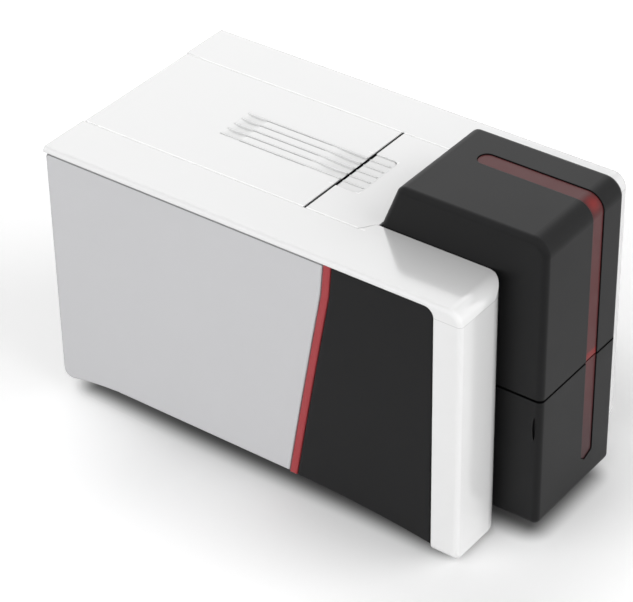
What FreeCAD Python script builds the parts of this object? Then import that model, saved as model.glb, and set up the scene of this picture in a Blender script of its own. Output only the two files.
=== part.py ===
import FreeCAD, Part
import Sketcher
import math
import os

# Desktop ID card printer: a white frame of two rails on two front posts, side panels with a
# slanted red stripe, a hinged rear cover over the ribbon and print head, and at the front a
# black pair of card hoppers. Millimetres, +Z up, hoppers toward -Y, the panel side of the
# photograph toward -X. The origin is the middle of the footprint, on the table.

# Driving sizes, one plain number each. Lengths in mm, angles in degrees, counts bare.
drivingSizes = {
    # whole machine
    "body_width": 205.0,
    "body_length": 352.4,
    "body_height": 206.8,
    "hopper_proud": 28.6,
    "foot_height": 5.0,
    "overrun": 6.0,
    "seam": 0.3,
    # white frame
    "rail_step_width": 10.5,
    "rail_depth": 26.0,
    "shell_wall": 3.0,
    "post_depth": 21.5,
    "post_corner_radius": 16.0,
    "post_crown_radius": 11.0,
    "post_foot_radius": 7.0,
    "rail_top_radius": 3.4,
    "rail_inner_edge": 0.8,
    "rail_step_y": 50.5,
    "rail_step_run": 7.0,
    "panel_top_lip": 3.8,
    "panel_gap": 0.6,
    "panel_corner_radius": 7.5,
    # side panels and stripe
    "panel_thickness": 5.0,
    "panel_edge_radius": 1.6,
    "panel_rear_radius": 4.5,
    "panel_bow": 0.8,
    "panel_foot_radius": 8.0,
    "stripe_width": 7.0,
    "stripe_front_y": 58.4,
    "stripe_bend_shift": 2.0,
    "stripe_bend_drop": 29.3,
    "stripe_foot_y": 26.3,
    "arch_height": 18.3,
    "arch_front_drop": 8.0,
    "arch_rear_inset": 62.5,
    "arch_rear_drop": 8.5,
    # hoppers
    "hopper_width": 95.0,
    "hopper_rise": 35.2,
    "split_drop": 7.5,
    "hopper_split_gap": 1.2,
    "hopper_lift": 8.0,
    "hopper_rear_y": 59.4,
    "hopper_rear_lean": 14.0,
    "hopper_rear_round": 7.0,
    "hopper_wall": 2.6,
    "hopper_side_radius": 4.5,
    "hopper_skirt_setback": 11.9,
    "hopper_skirt_drop": 8.8,
    "hopper_bevel": 8.0,
    "hopper_bevel_radius": 13.0,
    "hopper_axis_y": 72.0,
    "hopper_axis_lift": 3.0,
    "hopper_pin_radius": 1.5,
    "hopper_pin_sink": 1.6,
    "door_rear_gap": 5.5,
    "door_left_reach": 9.9,
    "door_foot_radius": 5.0,
    "door_axis_inset": 5.5,
    "door_axis_forward": 2.0,
    "door_pin_radius": 1.4,
    "door_pin_sink": 1.6,
    "pin_clearance": 0.05,
    "hopper_clearance": 0.5,
    "window_width": 14.0,
    "window_centre_x": 15.5,
    "window_thickness": 1.8,
    "window_recess": 0.8,
    "window_rear_y": 96.0,
    "window_foot_rise": 24.0,
    "window_tip_drop": 4.0,
    "notch_height": 20.0,
    "notch_depth": 1.8,
    "notch_width": 2.4,
    "notch_drop": 23.5,
    "notch_setback": 5.1,
    # middle of the top: hinged cover and fixed deck
    "slot_y": 5.1,
    "slot_width": 2.0,
    "cover_thickness": 3.0,
    "cover_skirt": 12.0,
    "cover_side_gap": 0.5,
    "cover_barrel_radius": 7.0,
    "cover_rear_edge": 2.0,
    "cover_barrel_gap": 0.6,
    "cover_pin_radius": 2.0,
    "cover_pin_sink": 6.0,
    "rib_pitch": 8.05,
    "rib_width": 1.2,
    "rib_height": 0.6,
    "rib_rear_y": 100.0,
    "rib_scoop_depth": 0.9,
    "rib_scoop_rear": 18.0,
    "rib_scoop_front": 27.0,
    "rib_half_count": 2.0,
    "pad_half_strips": 3.0,
    "pad_length": 19.3,
    "pad_corner_radius": 5.0,
    "pad_gap": 0.4,
    "pad_sink": 0.8,
    "pad_travel": 2.5,
    "pad_thickness": 2.6,
    "pad_rib_margin": 2.0,
    "pad_stem_half": 5.0,
    "pad_stem_depth": 4.0,
    "pad_stem_length": 10.0,
    "deck_thickness": 3.0,
    "deck_skirt": 9.0,
    # chassis
    "sheet_thickness": 1.5,
    "pan_lift": 7.0,
    "pan_side_gap": 14.5,
    "pan_tongue_setback": 11.9,
    "pan_flange": 10.0,
    "foot_side_inset": 22.0,
    "foot_front_inset": 18.4,
    "foot_rear_inset": 25.5,
    "foot_radius": 9.0,
    "nose_reach": 14.0,
    "nose_depth": 22.0,
    "chassis_front_y": 97.0,
    "shelf_y": 52.0,
    "shelf_drop": 15.8,
    "waist_drop": 35.8,
    "waist_setback": 16.0,
    "plate_radius": 4.0,
    # card path, rollers and belt
    "card_drop": 84.8,
    "card_thickness": 0.8,
    "card_half_width": 27.6,
    "card_edge_margin": 2.0,
    "bed_drop": 0.5,
    "bed_rear_gap": 11.5,
    "slot_margin": 1.0,
    "pickup_radius": 10.0,
    "pickup_half": 22.0,
    "feed_y": 82.0,
    "feed_radius": 8.0,
    "transport_y": 32.0,
    "pinch_radius": 6.0,
    "head_y": 60.0,
    "platen_radius": 9.0,
    "sleeve_half": 30.0,
    "shaft_radius": 3.0,
    "shaft_stub": 0.5,
    "bush_radius": 5.0,
    "bush_length": 2.5,
    "belt_offset": 4.0,
    "belt_width": 6.0,
    "belt_thickness": 1.4,
    "belt_gap": 0.3,
    "pulley_cheek": 0.8,
    "pulley_flange": 1.2,
    "motor_y": 60.0,
    "motor_side": 42.0,
    "motor_length": 36.0,
    "motor_boss_radius": 11.0,
    "motor_shaft_radius": 2.5,
    "motor_shaft_sink": 24.0,
    "motor_pulley_radius": 6.0,
    # card trays and weight
    "tray_wall": 2.4,
    "magazine_gap": 3.5,
    "magazine_drop": 21.0,
    "magazine_lip": 8.0,
    "gate_gap": 0.5,
    "wing_inset": 2.0,
    "weight_gap": 1.0,
    "weight_height": 11.0,
    "weight_knob_height": 9.0,
    "weight_knob_radius": 7.0,
    "bin_floor_gap": 1.4,
    "bin_drop": 16.5,
    "bin_lip": 14.0,
    "bin_mouth": 16.0,
    "arm_margin": 1.2,
    "arm_thickness": 3.0,
    "chute_start_y": 46.0,
    "chute_drop": 3.0,
    "chute_end_drop": 3.0,
    "ear_half": 4.0,
    "ear_reach": 16.0,
    "ear_width": 10.0,
    "ear_root": 16.0,
    "ear_thickness": 2.5,
    # ribbon, print head and latch
    "spool_lift": 22.6,
    "spool_reach": 42.0,
    "spool_half": 29.0,
    "core_radius": 6.0,
    "journal_radius": 4.0,
    "flange_radius": 19.0,
    "flange_thickness": 1.5,
    "supply_roll_radius": 15.0,
    "takeup_roll_radius": 9.0,
    "cheek_clearance": 3.0,
    "cheek_thickness": 2.5,
    "cheek_reach": 20.0,
    "cheek_radius": 8.0,
    "cheek_notch_half": 12.0,
    "cheek_notch_drop": 6.0,
    "guide_reach": 14.0,
    "guide_radius": 2.0,
    "web_lift": 0.5,
    "web_thickness": 0.3,
    "web_gap": 0.1,
    "web_margin": 1.0,
    "gear_module": 1.0,
    "gear_teeth": 30.0,
    "pinion_teeth": 12.0,
    "gear_backlash": 0.15,
    "gear_line_angle": 205.0,
    "gear_gap": 1.2,
    "gear_width": 4.0,
    "pinion_hole_radius": 9.0,
    "ribbon_shaft_radius": 1.5,
    "ribbon_motor_sink": 12.0,
    "ribbon_motor_length": 28.0,
    "ribbon_motor_radius": 12.0,
    "head_depth": 12.0,
    "head_nose": 2.0,
    "head_height": 18.0,
    "head_half_width": 30.0,
    "fin_count": 7.0,
    "fin_pitch": 7.0,
    "fin_gap": 3.5,
    "fin_depth": 9.0,
    "bracket_web": 2.0,
    "bracket_half_width": 36.0,
    "bracket_flange": 14.0,
    "bracket_hole_radius": 9.0,
    "hook_length": 10.0,
    "hook_inset": 3.0,
    "hook_toe": 2.0,
    "hook_thickness": 1.5,
    "leaf_depth": 6.0,
    # rear panel, its sockets and switch, and the circuit board
    "rear_panel_inset": 1.0,
    "rear_panel_thickness": 2.0,
    "vent_count": 14.0,
    "vent_pitch": 6.0,
    "vent_width": 2.6,
    "vent_drop": 7.0,
    "vent_height": 44.0,
    "port_depth": 14.0,
    "port_rim": 1.4,
    "socket_depth": 8.0,
    "usb_width": 12.0,
    "usb_height": 11.0,
    "network_width": 16.0,
    "network_height": 13.5,
    "inlet_width": 15.0,
    "inlet_height": 13.0,
    "inlet_bore_radius": 4.6,
    "inlet_pin_radius": 1.1,
    "switch_rise": 38.0,
    "switch_width": 15.0,
    "switch_height": 22.0,
    "switch_depth": 12.0,
    "rocker_axis_depth": 4.0,
    "rocker_pin_radius": 1.2,
    "rocker_pin_sink": 0.8,
    "rocker_gap": 0.9,
    "rocker_lean": 2.2,
    "rocker_sink": 1.4,
    "rocker_back": 4.0,
    "board_standoff": 12.0,
    "board_thickness": 1.6,
    "board_front_y": 58.0,
    "board_rise": 18.0,
    "board_drop": 15.0,
    "board_margin": 6.0,
    "board_post_inset": 32.5,
    "board_post_radius": 3.0,
    "chip_side": 20.0,
    "chip_height": 2.4,
    "capacitor_count": 3.0,
    "capacitor_pitch": 13.0,
    "capacitor_height": 14.0,
    "capacitor_radius": 5.0,
}


class Size:
    # A length that knows its number and the sheet expression that gives it.
    def __init__(self, value, text):
        self.value = float(value)
        self.text = text

    def __add__(self, other):
        other = asSize(other)
        return Size(self.value + other.value, f"({self.text} + {other.text})")

    def __sub__(self, other):
        other = asSize(other)
        return Size(self.value - other.value, f"({self.text} - {other.text})")

    def __mul__(self, other):
        other = asSize(other)
        return Size(self.value * other.value, f"({self.text} * {other.text})")

    def __truediv__(self, other):
        other = asSize(other)
        return Size(self.value / other.value, f"({self.text} / {other.text})")

    def __neg__(self):
        return Size(-self.value, f"(0 - {self.text})")

    def __rmul__(self, other):
        return asSize(other) * self

    def __radd__(self, other):
        return asSize(other) + self


def asSize(number):
    if isinstance(number, Size):
        return number
    return Size(number, repr(float(number)))


doc = FreeCAD.newDocument("card_printer")
sheet = doc.addObject("Spreadsheet::Sheet", "Sizes")


class Sheet:
    pass


s = Sheet()
for row, (alias, number) in enumerate(drivingSizes.items(), start=1):
    sheet.set(f"A{row}", alias)
    sheet.set(f"B{row}", str(number))
    sheet.setAlias(f"B{row}", alias)
    setattr(s, alias, Size(number, f"Sizes.{alias}"))
doc.recompute()

zero = asSize(0)
subParts = []


def keep(label, thing):
    # Names a finished sub-part; the label is also its file's name.
    thing.Label = label
    subParts.append(thing)
    return thing


def place(thing, x, y, z):
    for axis, size in (("x", x), ("y", y), ("z", z)):
        thing.setExpression(f"Placement.Base.{axis}", asSize(size).text)


def block(low, high):
    box = doc.addObject("Part::Box", "Block")
    for name, a, b in zip(("Length", "Width", "Height"), low, high):
        box.setExpression(name, (asSize(b) - a).text)
    place(box, *low)
    return box


turned = {
    "x": FreeCAD.Rotation(FreeCAD.Vector(0, 1, 0), 90),
    "y": FreeCAD.Rotation(FreeCAD.Vector(1, 0, 0), -90),
    "z": FreeCAD.Rotation(),
}


def rod(axis, start, length, radius):
    # A cylinder from start, running along +axis.
    cylinder = doc.addObject("Part::Cylinder", "Rod")
    cylinder.Placement.Rotation = turned[axis]
    cylinder.setExpression("Radius", asSize(radius).text)
    cylinder.setExpression("Height", asSize(length).text)
    place(cylinder, *start)
    return cylinder


def joined(things):
    fuse = doc.addObject("Part::MultiFuse", "Joined")
    fuse.Shapes = things
    return fuse


def minus(base, tools):
    cut = doc.addObject("Part::Cut", "Cut")
    cut.Base = base
    cut.Tool = tools[0] if len(tools) == 1 else joined(tools)
    return cut


def shared(a, b):
    common = doc.addObject("Part::Common", "Shared")
    common.Base = a
    common.Tool = b
    return common


def newBody(name):
    return doc.addObject("PartDesign::Body", name)


def at(a, b, rounded=None, arc=None):
    # One corner of an outline. rounded is its fillet; arc is the signed radius of the edge
    # from here to the next corner, bulging to the left of the way round when positive.
    return (asSize(a), asSize(b), rounded, arc)


def unit(dx, dy):
    length = math.hypot(dx, dy)
    return dx / length, dy / length


def sketchOn(body, plane, offset):
    sketch = body.newObject("Sketcher::SketchObject", body.Name + "Sketch")
    origin = [item for item in body.Origin.OriginFeatures if item.Role == plane]
    sketch.AttachmentSupport = [(origin[0], "")]
    sketch.MapMode = "FlatFace"
    sketch.setExpression("AttachmentOffset.Base.z", asSize(offset).text)
    return sketch


def pinPoint(sketch, edge, end, a, b):
    for kind, size in (("DistanceX", a), ("DistanceY", b)):
        index = sketch.addConstraint(Sketcher.Constraint(kind, edge, end, size.value))
        sketch.setExpression(f"Constraints[{index}]", size.text)


def addOutline(sketch, corners):
    # Closed outline of lines and arcs; every end point and radius is bound to the sheet.
    points = []
    for index, (a, b, rounded, arc) in enumerate(corners):
        if rounded is None:
            points.append((a, b, arc))
            continue
        before = corners[index - 1]
        after = corners[(index + 1) % len(corners)]
        ux, uy = unit(before[0].value - a.value, before[1].value - b.value)
        vx, vy = unit(after[0].value - a.value, after[1].value - b.value)
        half = math.acos(max(-1.0, min(1.0, ux * vx + uy * vy))) / 2
        reach = rounded * (1 / math.tan(half))
        turn = ux * vy - uy * vx
        radius = rounded if turn < 0 else -rounded
        points.append((a + reach * ux, b + reach * uy, -radius))
        points.append((a + reach * vx, b + reach * vy, arc))
    edges = []
    for index, (a, b, arc) in enumerate(points):
        c, d, unused = points[(index + 1) % len(points)]
        p = FreeCAD.Vector(a.value, b.value, 0)
        q = FreeCAD.Vector(c.value, d.value, 0)
        if arc is None:
            edge = sketch.addGeometry(Part.LineSegment(p, q), False)
            edges.append((edge, 1, 2, None, None))
            continue
        chord = q - p
        left = FreeCAD.Vector(-chord.y, chord.x, 0).normalize()
        radius = abs(arc.value)
        away = math.sqrt(max(radius ** 2 - (chord.Length / 2) ** 2, 0))
        side = 1 if arc.value > 0 else -1
        centre = (p + q) * 0.5 - left * (away * side)
        start = math.atan2(p.y - centre.y, p.x - centre.x)
        end = math.atan2(q.y - centre.y, q.x - centre.x)
        circle = Part.Circle(centre, FreeCAD.Vector(0, 0, 1), radius)
        if side > 0:
            edge = sketch.addGeometry(Part.ArcOfCircle(circle, end, start), False)
            edges.append((edge, 2, 1, arc, side))
        else:
            edge = sketch.addGeometry(Part.ArcOfCircle(circle, start, end), False)
            edges.append((edge, 1, 2, arc, side))
    for index, (edge, first, last, arc, side) in enumerate(edges):
        after = edges[(index + 1) % len(edges)]
        sketch.addConstraint(Sketcher.Constraint("Coincident", edge, last, after[0], after[1]))
    for (edge, first, last, arc, side), (a, b, unused) in zip(edges, points):
        pinPoint(sketch, edge, first, a, b)
        if arc is not None:
            index = sketch.addConstraint(Sketcher.Constraint("Radius", edge, abs(arc.value)))
            sketch.setExpression(f"Constraints[{index}]", (arc if side > 0 else -arc).text)


def outline(body, plane, offset, corners):
    sketch = sketchOn(body, plane, offset)
    addOutline(sketch, corners)
    return sketch


def pad(body, sketch, length, backward=False):
    feature = body.newObject("PartDesign::Pad", body.Name + "Pad")
    feature.Profile = sketch
    feature.setExpression("Length", asSize(length).text)
    feature.Reversed = backward
    doc.recompute()
    return feature


def pocket(body, sketch, depth, backward=False):
    # Cuts along the sketch's normal when backward is set, against it otherwise.
    before = body.Shape.Volume
    feature = body.newObject("PartDesign::Pocket", body.Name + "Pocket")
    feature.Profile = sketch
    feature.setExpression("Length", asSize(depth).text)
    feature.Reversed = backward
    doc.recompute()
    if body.Shape.Volume > before * 0.9999999:
        raise RuntimeError(f"{body.Name}: a pocket cut nothing")
    return feature


def edgesWhere(shape, wanted):
    return [f"Edge{n}" for n, edge in enumerate(shape.Edges, start=1) if wanted(edge)]


def bore(body, plane, offset, a, b, radius, depth, backward=False):
    # A round hole, its centre at a, b of the plane.
    sketch = sketchOn(body, plane, offset)
    centre = FreeCAD.Vector(asSize(a).value, asSize(b).value, 0)
    circle = Part.Circle(centre, FreeCAD.Vector(0, 0, 1), asSize(radius).value)
    edge = sketch.addGeometry(circle, False)
    pinPoint(sketch, edge, 3, asSize(a), asSize(b))
    index = sketch.addConstraint(Sketcher.Constraint("Radius", edge, asSize(radius).value))
    sketch.setExpression(f"Constraints[{index}]", asSize(radius).text)
    return pocket(body, sketch, depth, backward)


def soften(body, radius, wanted, kind="Fillet"):
    names = edgesWhere(body.Shape, wanted)
    if not names:
        raise RuntimeError(f"{body.Name}: no edge to soften")
    carrier = body.Tip
    feature = body.newObject(f"PartDesign::{kind}", body.Name + kind)
    feature.Base = (carrier, names)
    feature.setExpression("Radius" if kind == "Fillet" else "Size", asSize(radius).text)
    body.Tip = feature
    doc.recompute()
    return feature


def near(a, b, reach=0.01):
    return abs(a - b) < reach


# Levels and planes that many pieces share.
base = s.foot_height
top = base + s.body_height
halfWidth = s.body_width / 2
rear = (s.body_length + s.hopper_proud) / 2
front = rear - s.body_length
hopperFront = front - s.hopper_proud
hopperHalf = s.hopper_width / 2
hopperPocket = hopperHalf + s.hopper_clearance
railInner = hopperPocket + s.rail_step_width
railWidth = halfWidth - railInner
panelTop = top - s.panel_top_lip
postRear = front + s.post_depth
railUnder = top - s.rail_depth
stepRear = -s.rail_step_y
stepFront = stepRear - s.rail_step_run
panUnder = base + s.pan_lift
panTop = panUnder + s.sheet_thickness
cardPlane = top - s.card_drop
rearFace = rear - s.rear_panel_inset
rearInner = rearFace - s.rear_panel_thickness


coverAxisY = rear - s.cover_barrel_radius
coverAxisZ = top - s.cover_barrel_radius


def whiteShell(side, sign):
    # One rail and its post, moulded in one: plan outline drawn up, cut to the arm, then hollowed.
    body = newBody(side + "_shell")
    plan = [
        at(halfWidth * sign, front),
        at(halfWidth * sign, rear),
        at(railInner * sign, rear),
        at(railInner * sign, stepRear),
        at(hopperPocket * sign, stepFront),
        at(hopperPocket * sign, front, rounded=s.post_corner_radius),
    ]
    pad(body, outline(body, "XY_Plane", base, plan), s.body_height)
    outer = (halfWidth + s.overrun) * sign
    under = [
        at(postRear, base - s.overrun),
        at(rear + s.overrun, base - s.overrun),
        at(rear + s.overrun, railUnder),
        at(postRear, railUnder, rounded=s.panel_corner_radius - s.shell_wall),
    ]
    pocket(body, outline(body, "YZ_Plane", outer, under), s.body_width, backward=sign < 0)
    side_x = halfWidth.value * sign

    def footEdge(edge):
        box = edge.BoundBox
        level = near(box.ZMin, base.value) and near(box.ZMax, base.value)
        return level and near(box.XMin, side_x) and near(box.XMax, side_x)

    soften(body, s.post_foot_radius, footEdge)
    crown = [
        at(front, top - s.post_crown_radius, arc=s.post_crown_radius),
        at(front + s.post_crown_radius, top),
        at(front + s.post_crown_radius, top + s.overrun),
        at(front - s.overrun, top + s.overrun),
        at(front - s.overrun, top - s.post_crown_radius),
    ]
    pocket(body, outline(body, "YZ_Plane", outer, crown), s.body_width, backward=sign < 0)

    def innerTopEdge(edge):
        box = edge.BoundBox
        level = near(box.ZMin, top.value)
        outermost = max(abs(box.XMin), abs(box.XMax))
        return level and near(outermost, railInner.value) and box.YLength > railWidth.value

    soften(body, s.rail_inner_edge, innerTopEdge)

    def outerTopEdge(edge):
        box = edge.BoundBox
        level = near(box.ZMin, top.value)
        return level and near(min(abs(box.XMin), abs(box.XMax)), halfWidth.value)

    soften(body, s.rail_top_radius, outerTopEdge)
    recess = [
        at(postRear, base - s.overrun),
        at(rear + s.overrun, base - s.overrun),
        at(rear + s.overrun, panelTop),
        at(postRear, panelTop, rounded=s.panel_corner_radius),
    ]
    depth = s.panel_thickness + s.overrun
    pocket(body, outline(body, "YZ_Plane", outer, recess), depth, backward=sign < 0)
    inner = halfWidth - s.panel_thickness - s.shell_wall
    hollow = [
        at(inner * sign, postRear - s.overrun),
        at(inner * sign, rear - s.shell_wall),
        at((railInner + s.shell_wall) * sign, rear - s.shell_wall),
        at((railInner + s.shell_wall) * sign, postRear - s.overrun),
    ]
    ceiling = top - s.shell_wall
    pocket(body, outline(body, "XY_Plane", ceiling, hollow), s.rail_depth)
    innerFront = front + s.shell_wall
    innerCorner = s.post_corner_radius - s.shell_wall
    postHollow = [
        at((halfWidth - s.shell_wall - s.rail_top_radius) * sign, innerFront),
        at((halfWidth - s.shell_wall - s.rail_top_radius) * sign, postRear + s.overrun),
        at((hopperPocket + s.shell_wall) * sign, postRear + s.overrun),
        at((hopperPocket + s.shell_wall) * sign, innerFront, rounded=innerCorner),
    ]
    height = s.body_height - s.shell_wall - s.panel_corner_radius - s.post_foot_radius
    floor = base + s.post_foot_radius
    pocket(body, outline(body, "XY_Plane", floor, postHollow), height, backward=True)
    pinBore = s.cover_pin_radius + s.pin_clearance
    start = (railInner - s.seam) * sign
    depth = s.shell_wall + s.seam * 2
    bore(body, "YZ_Plane", start, coverAxisY, coverAxisZ, pinBore, depth, backward=sign > 0)
    return keep(side + "_shell", body)


for side, sign in (("left", -1), ("right", 1)):
    whiteShell(side, sign)


def bodyPanel(name, sign, corners, rearEdge):
    # A side panel: outline as thick as the recess, bowed outward, with rolled edges.
    body = newBody(name)
    face = halfWidth * sign
    pad(body, outline(body, "YZ_Plane", face, corners), s.panel_thickness, backward=sign > 0)
    if rearEdge:
        def footCorner(edge):
            box = edge.BoundBox
            atRear = near(box.YMin, rear.value) and near(box.YMax, rear.value)
            return atRear and near(box.ZMin, box.ZMax) and box.ZMax < s.arch_height.value

        soften(body, s.panel_foot_radius, footCorner)

        def rearFace(edge):
            box = edge.BoundBox
            outside = near(box.XMin, face.value) and near(box.XMax, face.value)
            return outside and near(box.YMin, rear.value) and near(box.YMax, rear.value)

        soften(body, s.panel_rear_radius, rearFace)
    bow = s.panel_bow
    half = (panelTop - base) / 2
    curve = (half * half + bow * bow) / (bow * 2)
    waist = (halfWidth - bow) * sign
    beyond = (halfWidth + s.overrun) * sign
    crown = [
        at(waist, base, arc=curve * -sign),
        at(waist, panelTop),
        at(beyond, panelTop),
        at(beyond, base),
    ]
    sketch = outline(body, "XZ_Plane", -(rear + s.overrun), crown)
    pocket(body, sketch, s.body_length + s.overrun * 2, backward=True)
    if not rearEdge:
        def outerEdge(edge):
            box = edge.BoundBox
            reach = bow.value + 0.01
            return near(box.XMin, face.value, reach) and near(box.XMax, face.value, reach)

        soften(body, s.panel_edge_radius, outerEdge)
    return keep(name, body)


# The side panels share one arched lower edge and one slanted stripe.
archZ = s.arch_height
panelFront = postRear + s.seam
panelCeiling = panelTop - s.panel_gap
stripeFoot = -s.stripe_foot_y
stripeBend = -s.stripe_front_y + s.stripe_bend_shift
stripeTop = -s.stripe_front_y
bendZ = top - s.stripe_bend_drop
archRear = rear - s.arch_rear_inset
for side, sign in (("left", -1), ("right", 1)):
    run = stripeFoot - panelFront
    frontArch = (run * run + s.arch_front_drop * s.arch_front_drop) / (s.arch_front_drop * 2)
    bodyPanel(side + "_black_panel", sign, [
        at(panelFront, archZ - s.arch_front_drop, arc=frontArch),
        at(stripeFoot, archZ),
        at(stripeBend, bendZ),
        at(stripeTop, panelCeiling),
        at(panelFront, panelCeiling, rounded=s.panel_corner_radius - s.seam),
    ], rearEdge=False)
    inset = s.seam
    far = s.stripe_width - s.seam
    bodyPanel(side + "_red_stripe", sign, [
        at(stripeFoot + inset, archZ),
        at(stripeFoot + far, archZ),
        at(stripeBend + far, bendZ),
        at(stripeTop + far, panelCeiling),
        at(stripeTop + inset, panelCeiling),
        at(stripeBend + inset, bendZ),
    ], rearEdge=False)
    tail = s.arch_rear_inset
    rearArch = (tail * tail + s.arch_rear_drop * s.arch_rear_drop) / (s.arch_rear_drop * 2)
    bodyPanel(side + "_grey_panel", sign, [
        at(stripeFoot + s.stripe_width, archZ),
        at(archRear, archZ, arc=rearArch),
        at(rear, archZ - s.arch_rear_drop),
        at(rear, panelCeiling, rounded=s.panel_rear_radius),
        at(stripeTop + s.stripe_width, panelCeiling),
        at(stripeBend + s.stripe_width, bendZ),
    ], rearEdge=True)

# The hoppers: an upper one that tilts back over the deck and a lower one with a swung door.
hopperTop = top + s.hopper_rise
hopperSplit = cardPlane - s.split_drop
splitUpper = hopperSplit + s.hopper_split_gap / 2
splitLower = hopperSplit - s.hopper_split_gap / 2
hopperRear = -s.hopper_rear_y
hopperSkirt = front + s.hopper_skirt_setback
skirtZ = top - s.hopper_skirt_drop
hopperAxisY = -s.hopper_axis_y
hopperAxisZ = top + s.hopper_axis_lift
windowLow = s.window_centre_x - s.window_width / 2
windowHigh = s.window_centre_x + s.window_width / 2
windowRear = -s.window_rear_y
wall = s.hopper_wall
hopperInner = hopperHalf - wall


def bandOutline(outset, inset, rearY, lowZ):
    # The strip that runs over the bevelled front-top edge, between two depths below the skin.
    bend = s.hopper_bevel
    outerArc = s.hopper_bevel_radius - outset
    innerArc = s.hopper_bevel_radius - inset
    return [
        at(rearY, hopperTop - outset),
        at(hopperFront + bend + outset * bendShare, hopperTop - outset, rounded=outerArc),
        at(hopperFront + outset, hopperTop - bend - outset * bendShare, rounded=outerArc),
        at(hopperFront + outset, lowZ),
        at(hopperFront + inset, lowZ),
        at(hopperFront + inset, hopperTop - bend - inset * bendShare, rounded=innerArc),
        at(hopperFront + bend + inset * bendShare, hopperTop - inset, rounded=innerArc),
        at(rearY, hopperTop - inset),
    ]


# How far a 45 degree corner moves along a side, as a share of the depth below the skin.
bendShare = math.tan(math.radians(22.5))


def hopperShell():
    body = newBody("hopper_shell")
    profile = [
        at(hopperFront, splitUpper),
        at(hopperSkirt, splitUpper),
        at(hopperSkirt, skirtZ),
        at(hopperRear, skirtZ),
        at(hopperRear, top),
        at(hopperRear - s.hopper_rear_lean, hopperTop, rounded=s.hopper_rear_round),
        at(hopperFront + s.hopper_bevel, hopperTop, rounded=s.hopper_bevel_radius),
        at(hopperFront, hopperTop - s.hopper_bevel, rounded=s.hopper_bevel_radius),
    ]
    pad(body, outline(body, "YZ_Plane", -hopperHalf, profile), s.hopper_width)

    def sideEdge(edge):
        box = edge.BoundBox
        onSide = near(box.XMin, box.XMax) and near(abs(box.XMin), hopperHalf.value)
        return onSide and near(box.YMin, hopperFront.value) and near(box.YMax, hopperFront.value)

    soften(body, s.hopper_side_radius, sideEdge)
    inner = [
        at(hopperFront + wall, splitUpper - s.overrun),
        at(hopperSkirt + s.overrun, splitUpper - s.overrun),
        at(hopperSkirt + s.overrun, skirtZ - s.overrun),
        at(hopperRear - wall, skirtZ - s.overrun),
        at(hopperRear - wall, top),
        at(hopperRear - s.hopper_rear_lean - wall / 2, hopperTop - wall),
        at(hopperFront + s.hopper_bevel + wall * bendShare, hopperTop - wall),
        at(hopperFront + wall, hopperTop - s.hopper_bevel - wall * bendShare),
    ]
    sketch = outline(body, "YZ_Plane", -hopperInner, inner)
    pocket(body, sketch, hopperInner * 2, backward=True)
    slot = bandOutline(-s.overrun, s.overrun, windowRear, splitUpper - s.overrun)
    sketch = outline(body, "YZ_Plane", windowLow, slot)
    pocket(body, sketch, s.window_width, backward=True)

    def slotEnd(edge):
        box = edge.BoundBox
        upright = near(box.XMin, box.XMax) and near(box.YMin, box.YMax)
        return upright and near(box.YMin, windowRear.value) and box.ZMin > top.value

    soften(body, s.window_width * windowEndShare, slotEnd)
    for x, backward in ((-hopperInner, False), (hopperInner, True)):
        radius = s.hopper_pin_radius + s.pin_clearance
        bore(body, "YZ_Plane", x, hopperAxisY, hopperAxisZ, radius, s.hopper_pin_sink, backward)
    return keep("hopper_shell", body)


# The rounded end of the window slot, as a share of its width.
windowEndShare = 0.48


def hopperWindow():
    # A smoked strip let into the slot, a little below the skin.
    body = newBody("hopper_window")
    inset = s.window_recess + s.window_thickness
    band = bandOutline(s.window_recess, inset, windowRear - s.seam, splitUpper)
    width = s.window_width - s.seam * 2
    pad(body, outline(body, "YZ_Plane", windowLow + s.seam, band), width)

    def endEdge(edge):
        box = edge.BoundBox
        upright = near(box.XMin, box.XMax) and near(box.YMin, box.YMax)
        return upright and near(box.YMin, (windowRear - s.seam).value)

    soften(body, width * windowEndShare, endEdge)
    return keep("hopper_window", body)


doorRear = front - s.door_rear_gap
doorLeftRear = front + s.door_left_reach
doorAxisX = hopperHalf - s.door_axis_inset
doorAxisY = doorRear - s.door_axis_forward
doorFloor = base + s.hopper_lift
windowFoot = doorFloor + s.window_foot_rise
notchZ = hopperSplit - s.notch_drop
# Where the slanted foot of the window comes lowest, as a share of its width.
windowTipShare = 1 / 3


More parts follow.
